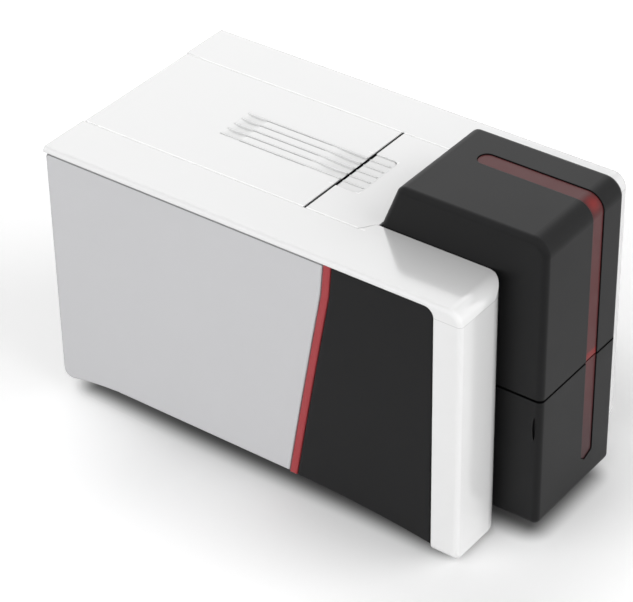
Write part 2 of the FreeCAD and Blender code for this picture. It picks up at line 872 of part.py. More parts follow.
def outputDoor():
    body = newBody("output_door")
    plan = [
        at(-hopperHalf, hopperFront, rounded=s.hopper_side_radius),
        at(hopperHalf, hopperFront, rounded=s.hopper_side_radius),
        at(hopperHalf, doorRear),
        at(-hopperInner, doorRear),
        at(-hopperInner, doorLeftRear),
        at(-hopperHalf, doorLeftRear),
    ]
    height = splitLower - doorFloor
    pad(body, outline(body, "XY_Plane", doorFloor, plan), height)

    def footEdge(edge):
        box = edge.BoundBox
        level = near(box.ZMin, doorFloor.value) and near(box.ZMax, doorFloor.value)
        return level and near(box.YMin, hopperFront.value) and near(box.YMax, hopperFront.value)

    soften(body, s.door_foot_radius, footEdge)
    inner = [
        at(-hopperInner, doorFloor + wall),
        at(hopperInner, doorFloor + wall),
        at(hopperInner, splitLower - wall),
        at(-hopperInner, splitLower - wall),
    ]
    sketch = outline(body, "XZ_Plane", -(hopperFront + wall), inner)
    pocket(body, sketch, doorLeftRear - hopperFront)
    slot = [
        at(windowLow, windowFoot),
        at(windowLow + s.window_width * windowTipShare, windowFoot - s.window_tip_drop),
        at(windowHigh, windowFoot),
        at(windowHigh, splitLower + s.overrun),
        at(windowLow, splitLower + s.overrun),
    ]
    sketch = outline(body, "XZ_Plane", -(hopperFront - s.overrun), slot)
    pocket(body, sketch, s.overrun + wall)
    notchY = hopperFront + s.notch_setback
    half = s.notch_height / 2
    spread = s.notch_width / 2
    lens = (half * half + spread * spread) / (spread * 2)
    crescent = [
        at(notchY, notchZ - half, arc=-lens),
        at(notchY, notchZ + half, arc=-lens),
    ]
    sketch = outline(body, "YZ_Plane", -(hopperHalf + s.overrun), crescent)
    pocket(body, sketch, s.overrun + s.notch_depth, backward=True)
    radius = s.door_pin_radius + s.pin_clearance
    floorInside = doorFloor + wall
    ceilingInside = splitLower - wall
    bore(body, "XY_Plane", floorInside, doorAxisX, doorAxisY, radius, s.door_pin_sink)
    bore(body, "XY_Plane", ceilingInside, doorAxisX, doorAxisY, radius, s.door_pin_sink, True)
    return keep("output_door", body)


def doorWindow():
    body = newBody("door_window")
    low = windowLow + s.seam
    high = windowHigh - s.seam
    strip = [
        at(low, windowFoot + s.seam),
        at(windowLow + s.window_width * windowTipShare, windowFoot - s.window_tip_drop + s.seam * 2),
        at(high, windowFoot + s.seam),
        at(high, splitLower),
        at(low, splitLower),
    ]
    sketch = outline(body, "XZ_Plane", -(hopperFront + s.window_recess), strip)
    pad(body, sketch, s.window_thickness, backward=True)
    return keep("door_window", body)


hopperShell()
hopperWindow()
outputDoor()
doorWindow()


# The middle of the top: the fixed deck with its press pad, and the hinged cover behind the slot.
slotRear = -s.slot_y + s.slot_width / 2
slotFront = -s.slot_y - s.slot_width / 2
coverSide = railInner - s.cover_side_gap
deckFront = hopperRear + s.hopper_clearance
padFront = slotFront - s.pad_length
padHalf = s.rib_pitch * s.pad_half_strips


def ribRow(body, lowY, highY, floorZ, ceilingZ, half):
    # Equal ribs about the middle line, drawn as one pattern of pads.
    count = int(s.rib_half_count.value) * 2 + 1
    for index in range(count):
        x = s.rib_pitch * (index - int(s.rib_half_count.value))
        rib = [
            at(x - half, lowY),
            at(x + half, lowY),
            at(x + half, highY),
            at(x - half, highY),
        ]
        pad(body, outline(body, "XY_Plane", floorZ, rib), ceilingZ - floorZ)


def frontDeck():
    body = newBody("front_deck")
    side = railInner - s.seam
    step = hopperPocket - s.seam
    plan = [
        at(-side, slotFront),
        at(-side, stepRear + s.seam),
        at(-step, stepFront),
        at(-step, deckFront),
        at(step, deckFront),
        at(step, stepFront),
        at(side, stepRear + s.seam),
        at(side, slotFront),
    ]
    skirtZ = top - s.deck_skirt
    pad(body, outline(body, "XY_Plane", skirtZ, plan), s.deck_skirt)
    inset = s.deck_thickness
    hollow = [
        at(-side + inset, slotFront - inset),
        at(-side + inset, deckFront + inset),
        at(side - inset, deckFront + inset),
        at(side - inset, slotFront - inset),
    ]
    sketch = outline(body, "XY_Plane", top - s.deck_thickness, hollow)
    pocket(body, sketch, s.deck_skirt)
    window = [
        at(-padHalf, slotFront + s.overrun),
        at(-padHalf, padFront, rounded=s.pad_corner_radius),
        at(padHalf, padFront, rounded=s.pad_corner_radius),
        at(padHalf, slotFront + s.overrun),
    ]
    sketch = outline(body, "XY_Plane", top + s.overrun, window)
    pocket(body, sketch, s.overrun + s.deck_skirt)

    def rimEdge(edge):
        box = edge.BoundBox
        level = near(box.ZMin, top.value) and near(box.ZMax, top.value)
        return level and near(box.XMin, box.XMax) and abs(box.XMin) > (step + s.seam).value

    soften(body, s.rail_inner_edge, rimEdge)
    return keep("front_deck", body)


def releaseButton():
    body = newBody("release_button")
    half = padHalf - s.pad_gap
    plan = [
        at(-half, slotFront - s.seam),
        at(-half, padFront + s.pad_gap, rounded=s.pad_corner_radius - s.pad_gap),
        at(half, padFront + s.pad_gap, rounded=s.pad_corner_radius - s.pad_gap),
        at(half, slotFront - s.seam),
    ]
    face = top - s.pad_sink
    pad(body, outline(body, "XY_Plane", face - s.pad_thickness, plan), s.pad_thickness)
    ribFront = padFront + s.pad_rib_margin
    ribRow(body, ribFront, slotFront - s.seam, face - s.seam, top - s.seam, s.rib_width / 2)
    stem = [
        at(-s.pad_stem_half, padFront + s.pad_rib_margin),
        at(s.pad_stem_half, padFront + s.pad_rib_margin),
        at(s.pad_stem_half, padFront + s.pad_rib_margin + s.pad_stem_depth),
        at(-s.pad_stem_half, padFront + s.pad_rib_margin + s.pad_stem_depth),
    ]
    floor = face - s.pad_thickness - s.pad_stem_length
    pad(body, outline(body, "XY_Plane", floor, stem), s.pad_stem_length + s.seam)
    return keep("release_button", body)


def topCover():
    body = newBody("top_cover")
    barrel = s.cover_barrel_radius
    almost = barrel * barrelShare
    profile = [
        at(slotRear, top - s.cover_skirt),
        at(rear - barrel * 2, top - s.cover_skirt),
        at(rear - barrel, top - barrel * 2),
        at(rear, top - barrel * 2, rounded=almost),
        at(rear, top, rounded=s.cover_rear_edge),
        at(slotRear, top),
    ]
    pad(body, outline(body, "YZ_Plane", -coverSide, profile), coverSide * 2)

    def sideTop(edge):
        box = edge.BoundBox
        level = near(box.ZMin, top.value) and near(box.ZMax, top.value)
        return level and near(box.XMin, box.XMax) and near(abs(box.XMin), coverSide.value)

    soften(body, s.rail_inner_edge, sideTop)
    inset = s.cover_thickness
    hollow = [
        at(-coverSide + inset, slotRear + inset),
        at(coverSide - inset, slotRear + inset),
        at(coverSide - inset, rear - barrel * 2 - inset),
        at(-coverSide + inset, rear - barrel * 2 - inset),
    ]
    sketch = outline(body, "XY_Plane", top - s.cover_thickness, hollow)
    pocket(body, sketch, s.cover_skirt)
    reach = s.rib_pitch * s.rib_half_count
    depth = s.rib_scoop_depth
    half = s.rib_scoop_rear / 2
    rearStart = s.rib_rear_y - s.rib_scoop_rear
    rearScoop = [
        at(rearStart, top, arc=-(half * half + depth * depth) / (depth * 2)),
        at(s.rib_rear_y, top),
        at(s.rib_rear_y, top + s.overrun),
        at(rearStart, top + s.overrun),
    ]
    run = s.rib_scoop_front
    frontScoop = [
        at(slotRear, top - depth, arc=-(run * run + depth * depth) / (depth * 2)),
        at(slotRear + run, top),
        at(slotRear + run, top + s.overrun),
        at(slotRear, top + s.overrun),
    ]
    for scoop in (rearScoop, frontScoop):
        pocket(body, outline(body, "YZ_Plane", -reach, scoop), reach * 2, backward=True)
    ribRow(body, slotRear, s.rib_rear_y, top - s.rib_scoop_depth, top + s.rib_height, s.rib_width / 2)
    for x, backward in ((-coverSide, True), (coverSide, False)):
        radius = s.cover_pin_radius + s.pin_clearance
        bore(body, "YZ_Plane", x, coverAxisY, coverAxisZ, radius, s.cover_pin_sink, backward)
    return keep("top_cover", body)


# The barrel's rounding as a share of its radius, short of closing up.
barrelShare = 0.97

frontDeck()
releaseButton()
topCover()

# Bores in the rails that hold the cover's hinge pins, and the pins themselves.
pinParts = []
for sign in (-1, 1):
    low = coverSide - s.cover_pin_sink if sign > 0 else -(railInner + s.shell_wall)
    length = s.cover_pin_sink + s.cover_side_gap + s.shell_wall
    pinParts.append(rod("x", (low, coverAxisY, coverAxisZ), length, s.cover_pin_radius))
keep("cover_hinge_pins", joined(pinParts))

# The chassis: a pan on four feet, two upright plates, and the rear panel.
plateInner = hopperInner - s.hopper_clearance
plateOuter = plateInner + s.sheet_thickness
cardTop = cardPlane + s.card_thickness / 2
cardUnder = cardPlane - s.card_thickness / 2
deckUnder = top - s.deck_skirt
chassisFront = -s.chassis_front_y
tongueY = front + s.pan_tongue_setback
bedRear = rearInner - s.bed_rear_gap
cassetteRear = s.head_y + s.spool_reach + s.cheek_reach
# Places of the exit roller behind the ribbon and of the pickup under the card box, as shares.
exitShare = 13 / 27
pickupShare = 297 / 437
exitY = cassetteRear + (bedRear - cassetteRear) * exitShare
magazineFront = hopperFront + s.hopper_wall + s.magazine_gap
pickupY = magazineFront + (chassisFront - magazineFront) * pickupShare
noseY = pickupY - s.nose_reach
panHalf = halfWidth - s.pan_side_gap


def basePan():
    body = newBody("base_pan")
    half = panHalf
    tongue = plateInner
    plan = [
        at(-tongue, tongueY),
        at(tongue, tongueY),
        at(tongue, postRear),
        at(half, postRear),
        at(half, rearInner),
        at(-half, rearInner),
        at(-half, postRear),
        at(-tongue, postRear),
    ]
    pad(body, outline(body, "XY_Plane", panUnder, plan), s.sheet_thickness)
    for sign in (-1, 1):
        flange = [
            at(half * sign, postRear),
            at(half * sign, rearInner),
            at((half - s.sheet_thickness) * sign, rearInner),
            at((half - s.sheet_thickness) * sign, postRear),
        ]
        sketch = outline(body, "XY_Plane", panUnder, flange)
        pad(body, sketch, s.pan_flange)
    return keep("base_pan", body)


def rubberFeet():
    feet = []
    footX = panHalf - s.foot_side_inset
    for x in (-footX, footX):
        for y in (postRear + s.foot_front_inset, rear - s.foot_rear_inset):
            feet.append(rod("z", (x, y, zero), panUnder, s.foot_radius))
    keep("rubber_feet", joined(feet))


# Rollers across the card path: place along it, radius, half length, and above the card or not.
rollers = {
    "pickup_roller": (pickupY, s.pickup_radius, s.pickup_half, False),
    "feed_roller": (-s.feed_y, s.feed_radius, s.sleeve_half, False),
    "transport_roller": (-s.transport_y, s.feed_radius, s.sleeve_half, False),
    "platen_roller": (s.head_y, s.platen_radius, s.sleeve_half, False),
    "exit_roller": (exitY, s.feed_radius, s.sleeve_half, False),
    "cleaning_roller": (-s.feed_y, s.feed_radius, s.sleeve_half, True),
    "front_pinch_roller": (-s.transport_y, s.pinch_radius, s.sleeve_half, True),
    "rear_pinch_roller": (exitY, s.pinch_radius, s.sleeve_half, True),
}


def rollerCentre(name):
    y, radius, half, above = rollers[name]
    if above:
        return y, cardTop + radius
    return y, cardUnder - radius


# Height of the motor's shaft between the pan and the card path, as a share.
motorShare = 97 / 227
motorZ = panTop + (cardPlane - panTop) * motorShare


def chassisPlate(side, sign):
    # One upright plate with a nose under the hopper, a low waist at the cover, and its bores.
    body = newBody(side + "_chassis_plate")
    noseUnder = cardPlane - s.nose_depth
    waistZ = top - s.waist_drop
    shelfZ = top - s.shelf_drop
    profile = [
        at(noseY, noseUnder),
        at(chassisFront, noseUnder),
        at(chassisFront, panTop),
        at(rearInner, panTop),
        at(rearInner, waistZ, rounded=s.plate_radius),
        at(slotFront + s.waist_setback, waistZ, rounded=s.plate_radius),
        at(slotFront, deckUnder),
        at(-s.shelf_y, deckUnder),
        at(-s.shelf_y, shelfZ),
        at(chassisFront, shelfZ, rounded=s.plate_radius),
        at(chassisFront, cardTop),
        at(noseY, cardTop, rounded=s.plate_radius),
    ]
    sketch = outline(body, "YZ_Plane", plateInner * sign, profile)
    pad(body, sketch, s.sheet_thickness, backward=sign < 0)
    start = (plateInner - s.overrun) * sign
    depth = s.sheet_thickness + s.overrun * 2
    for name in rollers:
        y, z = rollerCentre(name)
        bore(body, "YZ_Plane", start, y, z, s.bush_radius, depth, backward=sign > 0)
    if sign > 0:
        bore(body, "YZ_Plane", start, s.motor_y, motorZ, s.motor_boss_radius, depth, True)
    else:
        bore(body, "YZ_Plane", start, pinionY, pinionZ, s.pinion_hole_radius, depth, False)
    return keep(side + "_chassis_plate", body)


# Gears of the ribbon take-up: the pinion sits on the line down and forward from the spool.
spoolZ = cardTop + s.spool_lift
takeupY = s.head_y - s.spool_reach
supplyY = s.head_y + s.spool_reach
gearPitch = s.gear_module * s.gear_teeth / 2
pinionPitch = s.gear_module * s.pinion_teeth / 2
gearDistance = gearPitch + pinionPitch + s.gear_backlash
gearAngle = math.radians(s.gear_line_angle.value)
pinionY = takeupY + gearDistance * math.cos(gearAngle)
pinionZ = spoolZ + gearDistance * math.sin(gearAngle)


def crossRing(x, y, z, length, outer, inner):
    # A ring about a line along X.
    body = rod("x", (x, y, z), length, outer)
    hole = rod("x", (x - s.overrun, y, z), length + s.overrun * 2, inner)
    return minus(body, [hole])


def rollerBushes():
    rings = []
    for name in rollers:
        y, z = rollerCentre(name)
        for sign in (-1, 1):
            low = plateInner if sign > 0 else -plateInner - s.bush_length
            inner = s.shaft_radius + s.pin_clearance
            rings.append(crossRing(low, y, z, s.bush_length, s.bush_radius, inner))
    keep("roller_bushes", joined(rings))


def rollerPart(name):
    # Rubber sleeve on a steel shaft, with its belt pulley outside the right plate if driven.
    y, radius, half, above = rollers[name]
    centreY, centreZ = rollerCentre(name)
    shaftEnd = plateInner + s.bush_length + s.shaft_stub
    pieces = [
        rod("x", (-half, centreY, centreZ), half * 2, radius),
        rod("x", (-shaftEnd, centreY, centreZ), shaftEnd * 2, s.shaft_radius),
    ]
    if not above:
        pulley = beltTop - s.belt_gap - centreZ
        pieces.append(rod("x", (beltX, centreY, centreZ), s.belt_width, pulley))
        flange = pulley + s.pulley_flange
        for x in (beltX - s.pulley_cheek, beltX + s.belt_width):
            pieces.append(rod("x", (x, centreY, centreZ), s.pulley_cheek, flange))
        reach = beltX + s.belt_width - shaftEnd
        pieces.append(rod("x", (shaftEnd, centreY, centreZ), reach, s.shaft_radius))
    keep(name, joined(pieces))


# The belt runs flat over the row of pulleys and back round the motor's.
beltX = plateOuter + s.belt_offset
beltTop = cardTop + s.belt_gap


def beltLoop(outset):
    wheels = []
    for name in ("pickup_roller", "exit_roller"):
        y, z = rollerCentre(name)
        wheels.append((y, z, beltTop - s.belt_gap - z + outset))
    wheels.insert(1, (s.motor_y, motorZ, s.motor_pulley_radius + outset))
    points = []
    for index, (y, z, radius) in enumerate(wheels):
        nextY, nextZ, nextRadius = wheels[(index + 1) % len(wheels)]
        run = math.hypot(nextY.value - y.value, nextZ.value - z.value)
        heading = math.atan2(nextZ.value - z.value, nextY.value - y.value)
        lean = heading - math.acos((radius.value - nextRadius.value) / run)
        across, up = math.cos(lean), math.sin(lean)
        points.append(at(y + radius * across, z + radius * up))
        points.append(at(nextY + nextRadius * across, nextZ + nextRadius * up, arc=-nextRadius))
    return points


def driveBelt():
    body = newBody("drive_belt")
    outer = beltLoop(s.belt_gap + s.belt_thickness)
    pad(body, outline(body, "YZ_Plane", beltX, outer), s.belt_width)
    inner = beltLoop(s.belt_gap)
    sketch = outline(body, "YZ_Plane", beltX + s.belt_width + s.overrun, inner)
    pocket(body, sketch, s.belt_width + s.overrun * 2)
    return keep("drive_belt", body)


def driveMotor():
    half = s.motor_side / 2
    low = (plateInner - s.motor_length, s.motor_y - half, motorZ - half)
    high = (plateInner, s.motor_y + half, motorZ + half)
    case = block(low, high)
    boss = rod("x", (plateInner, s.motor_y, motorZ), s.sheet_thickness, s.motor_boss_radius)
    shaftHole = s.motor_shaft_radius + s.pin_clearance
    start = (plateInner - s.motor_shaft_sink, s.motor_y, motorZ)
    hole = rod("x", start, s.motor_shaft_sink + s.overrun, shaftHole)
    keep("drive_motor", minus(joined([case, boss]), [hole]))
    begin = plateInner - s.motor_shaft_sink + s.seam
    span = beltX + s.belt_width - begin
    shaft = rod("x", (begin, s.motor_y, motorZ), span, s.motor_shaft_radius)
    wheel = rod("x", (beltX, s.motor_y, motorZ), s.belt_width, s.motor_pulley_radius)
    pieces = [shaft, wheel]
    for x in (beltX - s.pulley_cheek, beltX + s.belt_width):
        flange = s.motor_pulley_radius + s.pulley_flange
        pieces.append(rod("x", (x, s.motor_y, motorZ), s.pulley_cheek, flange))
    keep("motor_pulley", joined(pieces))


def cardBed():
    # The lower card guide: a plate from wall to wall, slotted for each lower roller.
    body = newBody("card_bed")
    low = chassisFront
    high = bedRear
    half = plateInner
    plate = [at(-half, low), at(half, low), at(half, high), at(-half, high)]
    floor = cardUnder - s.bed_drop - s.sheet_thickness
    pad(body, outline(body, "XY_Plane", floor, plate), s.sheet_thickness)
    for name in ("feed_roller", "transport_roller", "platen_roller", "exit_roller"):
        y, radius, half, above = rollers[name]
        gap = radius * slotShare
        reach = s.sleeve_half + s.slot_margin
        slot = [at(-reach, y - gap), at(reach, y - gap), at(reach, y + gap), at(-reach, y + gap)]
        sketch = outline(body, "XY_Plane", cardUnder, slot)
        pocket(body, sketch, s.bed_drop + s.sheet_thickness * 2)
    return keep("card_bed", body)


# Half a roller's slot in the bed, as a share of the roller's radius.
slotShare = 0.85


def tray(label, floorZ, ceilingZ, lipZ):
    # An open card box: floor, two sides, a rear wall, and a low lip in front.
    body = newBody(label)
    side = s.tray_wall
    half = s.card_half_width + side
    plan = [
        at(-half, magazineFront),
        at(half, magazineFront),
        at(half, trayRear),
        at(-half, trayRear),
    ]
    pad(body, outline(body, "XY_Plane", floorZ, plan), ceilingZ - floorZ)
    inner = s.card_half_width
    well = [
        at(-inner, magazineFront + side),
        at(inner, magazineFront + side),
        at(inner, trayRear - side),
        at(-inner, trayRear - side),
    ]
    sketch = outline(body, "XY_Plane", ceilingZ, well)
    pocket(body, sketch, ceilingZ - floorZ - side)
    mouth = [
        at(-inner, lipZ),
        at(inner, lipZ),
        at(inner, ceilingZ + s.overrun),
        at(-inner, ceilingZ + s.overrun),
    ]
    sketch = outline(body, "XZ_Plane", -(magazineFront - s.overrun), mouth)
    pocket(body, sketch, s.overrun + side)
    return body


trayRear = chassisFront
magazineFloor = cardUnder - s.tray_wall
binTop = hopperSplit - s.bin_drop


def cardMagazine():
    lip = cardTop + s.magazine_lip
    body = tray("card_magazine", magazineFloor, hopperTop - s.magazine_drop, lip)
    y, radius, half, above = rollers["pickup_roller"]
    window = half + s.slot_margin
    slot = [
        at(-window, y - radius),
        at(window, y - radius),
        at(window, y + radius),
        at(-window, y + radius),
    ]
    sketch = outline(body, "XY_Plane", cardUnder + s.seam, slot)
    pocket(body, sketch, s.tray_wall + s.seam * 2)
    inner = s.card_half_width
    gate = [
        at(-inner, cardUnder),
        at(inner, cardUnder),
        at(inner, cardTop + s.gate_gap),
        at(-inner, cardTop + s.gate_gap),
    ]
    sketch = outline(body, "XZ_Plane", -(trayRear + s.overrun), gate)
    pocket(body, sketch, s.overrun + s.tray_wall + s.seam, backward=True)
    flangeLow = magazineFloor
    for sign in (-1, 1):
        wing = [
            at((s.card_half_width + s.tray_wall) * sign, noseY + s.wing_inset),
            at(plateInner * sign, noseY + s.wing_inset),
            at(plateInner * sign, chassisFront),
            at((s.card_half_width + s.tray_wall) * sign, chassisFront),
        ]
        pad(body, outline(body, "XY_Plane", flangeLow, wing), s.tray_wall)
    return keep("card_magazine", body)


def cardWeight():
    half = s.card_half_width - s.card_edge_margin
    low = (-half, magazineFront + s.tray_wall + s.weight_gap, cardTop)
    high = (half, trayRear - s.tray_wall - s.weight_gap, cardTop + s.weight_height)
    slab = block(low, high)
    middle = (magazineFront + trayRear) / 2
    foot = (zero, middle, cardTop + s.weight_height)
    knob = rod("z", foot, s.weight_knob_height, s.weight_knob_radius)
    keep("card_weight", joined([slab, knob]))


def outputBin():
    floor = doorFloor + wall + s.bin_floor_gap
    body = tray("output_bin", floor, binTop, floor + s.bin_lip)
    inner = s.card_half_width
    mouth = [
        at(-inner, binTop - s.bin_mouth),
        at(inner, binTop - s.bin_mouth),
        at(inner, binTop + s.overrun),
        at(-inner, binTop + s.overrun),
    ]
    sketch = outline(body, "XZ_Plane", -(trayRear + s.overrun), mouth)
    pocket(body, sketch, s.overrun + s.tray_wall + s.seam, backward=True)
    seat = [
        at(-inner, tongueY),
        at(inner, tongueY),
        at(inner, trayRear),
        at(-inner, trayRear),
    ]
    pad(body, outline(body, "XY_Plane", panTop, seat), floor - panTop + s.seam)
    armHalf = s.door_pin_radius + s.arm_margin
    side = s.card_half_width + s.tray_wall - s.seam
    for z in (doorFloor + wall + s.hopper_clearance, binTop - s.arm_thickness):
        arm = [
            at(side, doorAxisY - armHalf),
            at(doorAxisX + armHalf, doorAxisY - armHalf, rounded=armHalf * armShare),
            at(doorAxisX + armHalf, doorAxisY + armHalf, rounded=armHalf * armShare),
            at(side, doorAxisY + armHalf),
        ]
        pad(body, outline(body, "XY_Plane", z, arm), s.arm_thickness)
    return keep("output_bin", body)


armShare = 0.95


def doorPins():
    lowArm = doorFloor + wall + s.hopper_clearance
    bottom = doorFloor + wall - s.door_pin_sink + s.seam
    lower = rod("z", (doorAxisX, doorAxisY, bottom), lowArm - bottom, s.door_pin_radius)
    upperTop = splitLower - wall + s.door_pin_sink - s.seam
    upper = rod("z", (doorAxisX, doorAxisY, binTop), upperTop - binTop, s.door_pin_radius)
    keep("door_pins", joined([lower, upper]))


def exitChute():
    # A sloping plate that drops a finished card from the bed into the output bin.
    body = newBody("exit_chute")
    startY = -s.chute_start_y
    startZ = cardUnder - s.bed_drop - s.sheet_thickness - s.chute_drop
    endZ = binTop - s.chute_end_drop
    profile = [
        at(trayRear, endZ),
        at(startY, startZ),
        at(startY, startZ - s.sheet_thickness * 2),
        at(trayRear, endZ - s.sheet_thickness * 2),
    ]
    pad(body, outline(body, "YZ_Plane", -plateInner, profile), plateInner * 2)
    return keep("exit_chute", body)


def hopperBrackets():
    # Goose-necked ears on the chassis plates, with the stub pins the upper hopper turns on.
    pieces = []
    for side, sign in (("left", -1), ("right", 1)):
        body = newBody("hopper_ear_" + side)
        earTop = hopperAxisZ + s.ear_half
        column = hopperAxisY - s.ear_reach
        profile = [
            at(column - s.ear_width, deckUnder - s.ear_root),
            at(column, deckUnder - s.ear_root),
            at(column, hopperAxisZ - s.ear_half),
            at(hopperAxisY + s.ear_half, hopperAxisZ - s.ear_half, rounded=s.ear_half * armShare),
            at(hopperAxisY + s.ear_half, earTop, rounded=s.ear_half * armShare),
            at(column - s.ear_width, earTop, rounded=s.ear_half),
        ]
        sketch = outline(body, "YZ_Plane", plateInner * sign, profile)
        pad(body, sketch, s.ear_thickness, backward=sign > 0)
        length = s.hopper_clearance + s.hopper_pin_sink - s.seam
        low = plateInner if sign > 0 else -plateInner - length
        pin = rod("x", (low, hopperAxisY, hopperAxisZ), length, s.hopper_pin_radius)
        pieces += [body, pin]
    keep("hopper_brackets", joined(pieces))


def gearOutline(teeth, pitch, phase):
    # Straight-flanked teeth: four points a tooth, widths as shares of the tooth pitch.
    points = []
    step = 2 * math.pi / teeth
    addendum = s.gear_module * addendumShare
    dedendum = s.gear_module * dedendumShare
    tooth = [(-dedendum, -rootShare), (addendum, -tipShare), (addendum, tipShare), (-dedendum, rootShare)]
    for index in range(teeth):
        middle = phase + index * step
        for height, half in tooth:
            radius = pitch + height
            angle = middle + half * step
            points.append((radius * math.cos(angle), radius * math.sin(angle)))
    return points


# Tooth proportions as shares of the module and of the angular pitch.
addendumShare = 0.85
dedendumShare = 1.25
tipShare = 0.11
rootShare = 0.33


def gear(body, x, y, z, teeth, pitch, phase, length):
    corners = [at(y + a, z + b) for a, b in gearOutline(teeth, pitch, phase)]
    return pad(body, outline(body, "YZ_Plane", x, corners), length)


def ribbonDrive():
    teeth = int(s.gear_teeth.value)
    pinionTeeth = int(s.pinion_teeth.value)
    wheel = newBody("takeup_gear_wheel")
    gearX = -(cheekOuter + s.gear_gap + s.gear_width)
    gear(wheel, gearX, takeupY, spoolZ, teeth, gearPitch, gearAngle, s.gear_width)
    pinion = newBody("ribbon_pinion_wheel")
    facing = gearAngle + math.pi + math.pi / pinionTeeth
    gear(pinion, gearX, pinionY, pinionZ, pinionTeeth, pinionPitch, facing, s.gear_width)
    begin = -(plateOuter + s.ribbon_motor_sink)
    span = gearX + s.gear_width - begin
    shaft = rod("x", (begin, pinionY, pinionZ), span, s.ribbon_shaft_radius)
    keep("ribbon_pinion", joined([pinion, shaft]))
    far = -(plateOuter + s.ribbon_motor_length)
    case = rod("x", (far, pinionY, pinionZ), s.ribbon_motor_length, s.ribbon_motor_radius)
    deep = s.ribbon_motor_sink + s.seam
    shaftHole = s.ribbon_shaft_radius + s.pin_clearance
    hole = rod("x", (-(plateOuter + deep), pinionY, pinionZ), deep + s.overrun, shaftHole)
    keep("ribbon_motor", minus(case, [hole]))
    return wheel


cheekInner = s.spool_half + s.flange_thickness + s.cheek_clearance
cheekOuter = cheekInner + s.cheek_thickness
bedTop = cardUnder - s.bed_drop
guideZ = cardTop + s.web_lift + s.web_thickness + s.web_gap + s.guide_radius


def spool(label, y, rollRadius, wheel):
    # A flanged core on journals that turn in the cassette's cheeks.
    half = s.spool_half
    outerEnd = cheekOuter + s.gear_gap
    pieces = [
        rod("x", (-half, y, spoolZ), half * 2, s.core_radius),
        rod("x", (-outerEnd, y, spoolZ), outerEnd * 2, s.journal_radius),
        rod("x", (-half - s.flange_thickness, y, spoolZ), s.flange_thickness, s.flange_radius),
        rod("x", (half, y, spoolZ), s.flange_thickness, s.flange_radius),
    ]
    if wheel is not None:
        pieces.append(wheel)
    keep(label + "_core", joined(pieces))
    keep(label + "_roll", crossRing(-half, y, spoolZ, half * 2, rollRadius, s.core_radius))


def ribbonCassette():
    pieces = []
    for sign in (-1, 1):
        body = newBody("cassette_cheek")
        low = takeupY - s.cheek_reach
        high = supplyY + s.cheek_reach
        roof = spoolZ + s.cheek_reach
        notchZ = spoolZ - s.cheek_notch_drop
        profile = [
            at(low, bedTop),
            at(high, bedTop),
            at(high, roof, rounded=s.cheek_radius),
            at(supplyY - s.cheek_reach, roof, rounded=s.cheek_radius),
            at(s.head_y + s.cheek_notch_half, notchZ, rounded=s.plate_radius),
            at(s.head_y - s.cheek_notch_half, notchZ, rounded=s.plate_radius),
            at(takeupY + s.cheek_reach, roof, rounded=s.cheek_radius),
            at(low, roof, rounded=s.cheek_radius),
        ]
        sketch = outline(body, "YZ_Plane", cheekInner * sign, profile)
        pad(body, sketch, s.cheek_thickness, backward=sign < 0)
        for y in (takeupY, supplyY):
            start = (cheekInner - s.overrun / 2) * sign
            radius = s.journal_radius + s.pin_clearance
            depth = s.cheek_thickness + s.overrun
            bore(body, "YZ_Plane", start, y, spoolZ, radius, depth, backward=sign > 0)
        pieces.append(body)
    for y in (s.head_y - s.guide_reach, s.head_y + s.guide_reach):
        pieces.append(rod("x", (-cheekInner, y, guideZ), cheekInner * 2, s.guide_radius))
    keep("ribbon_cassette", joined(pieces))


# How far past a guide bar's middle the film bends, as a share of the bar's radius.
barShare = 0.25


def ribbonWeb():
    # The film from the supply roll, under both guide bars, to the take-up roll.
    body = newBody("ribbon_web")
    under = guideZ - s.guide_radius - s.web_gap
    thick = s.web_thickness
    leftTop = spoolZ - s.takeup_roll_radius - s.seam
    rightTop = spoolZ - s.supply_roll_radius - s.seam
    away = (s.guide_radius + s.web_gap) * barShare
    leftBar = s.head_y - s.guide_reach - away
    rightBar = s.head_y + s.guide_reach + away
    profile = [
        at(takeupY, leftTop - thick),
        at(leftBar, under - thick),
        at(rightBar, under - thick),
        at(supplyY, rightTop - thick),
        at(supplyY, rightTop),
        at(rightBar, under),
        at(leftBar, under),
        at(takeupY, leftTop),
    ]
    half = s.spool_half - s.web_margin
    pad(body, outline(body, "YZ_Plane", -half, profile), half * 2)
    return keep("ribbon_web", body)


def printHead():
    body = newBody("print_head")
    under = cardTop + s.web_lift + s.web_thickness + s.seam
    half = s.head_depth / 2
    nose = s.head_nose / 2
    profile = [
        at(s.head_y - nose, under),
        at(s.head_y + nose, under),
        at(s.head_y + half, under + half),
        at(s.head_y + half, under + s.head_height),
        at(s.head_y - half, under + s.head_height),
        at(s.head_y - half, under + half),
    ]
    pad(body, outline(body, "YZ_Plane", -s.head_half_width, profile), s.head_half_width * 2)
    finTop = under + s.head_height
    for index in range(int(s.fin_count.value)):
        x = (s.fin_pitch * index) - s.fin_pitch * (s.fin_count - 1) / 2
        groove = [
            at(x - s.fin_gap / 2, finTop - s.fin_depth),
            at(x + s.fin_gap / 2, finTop - s.fin_depth),
            at(x + s.fin_gap / 2, finTop + s.overrun),
            at(x - s.fin_gap / 2, finTop + s.overrun),
        ]
        sketch = outline(body, "XZ_Plane", -(s.head_y + half + s.overrun), groove)
        pocket(body, sketch, s.overrun + half - s.bracket_web, backward=True)
    return keep("print_head", body)


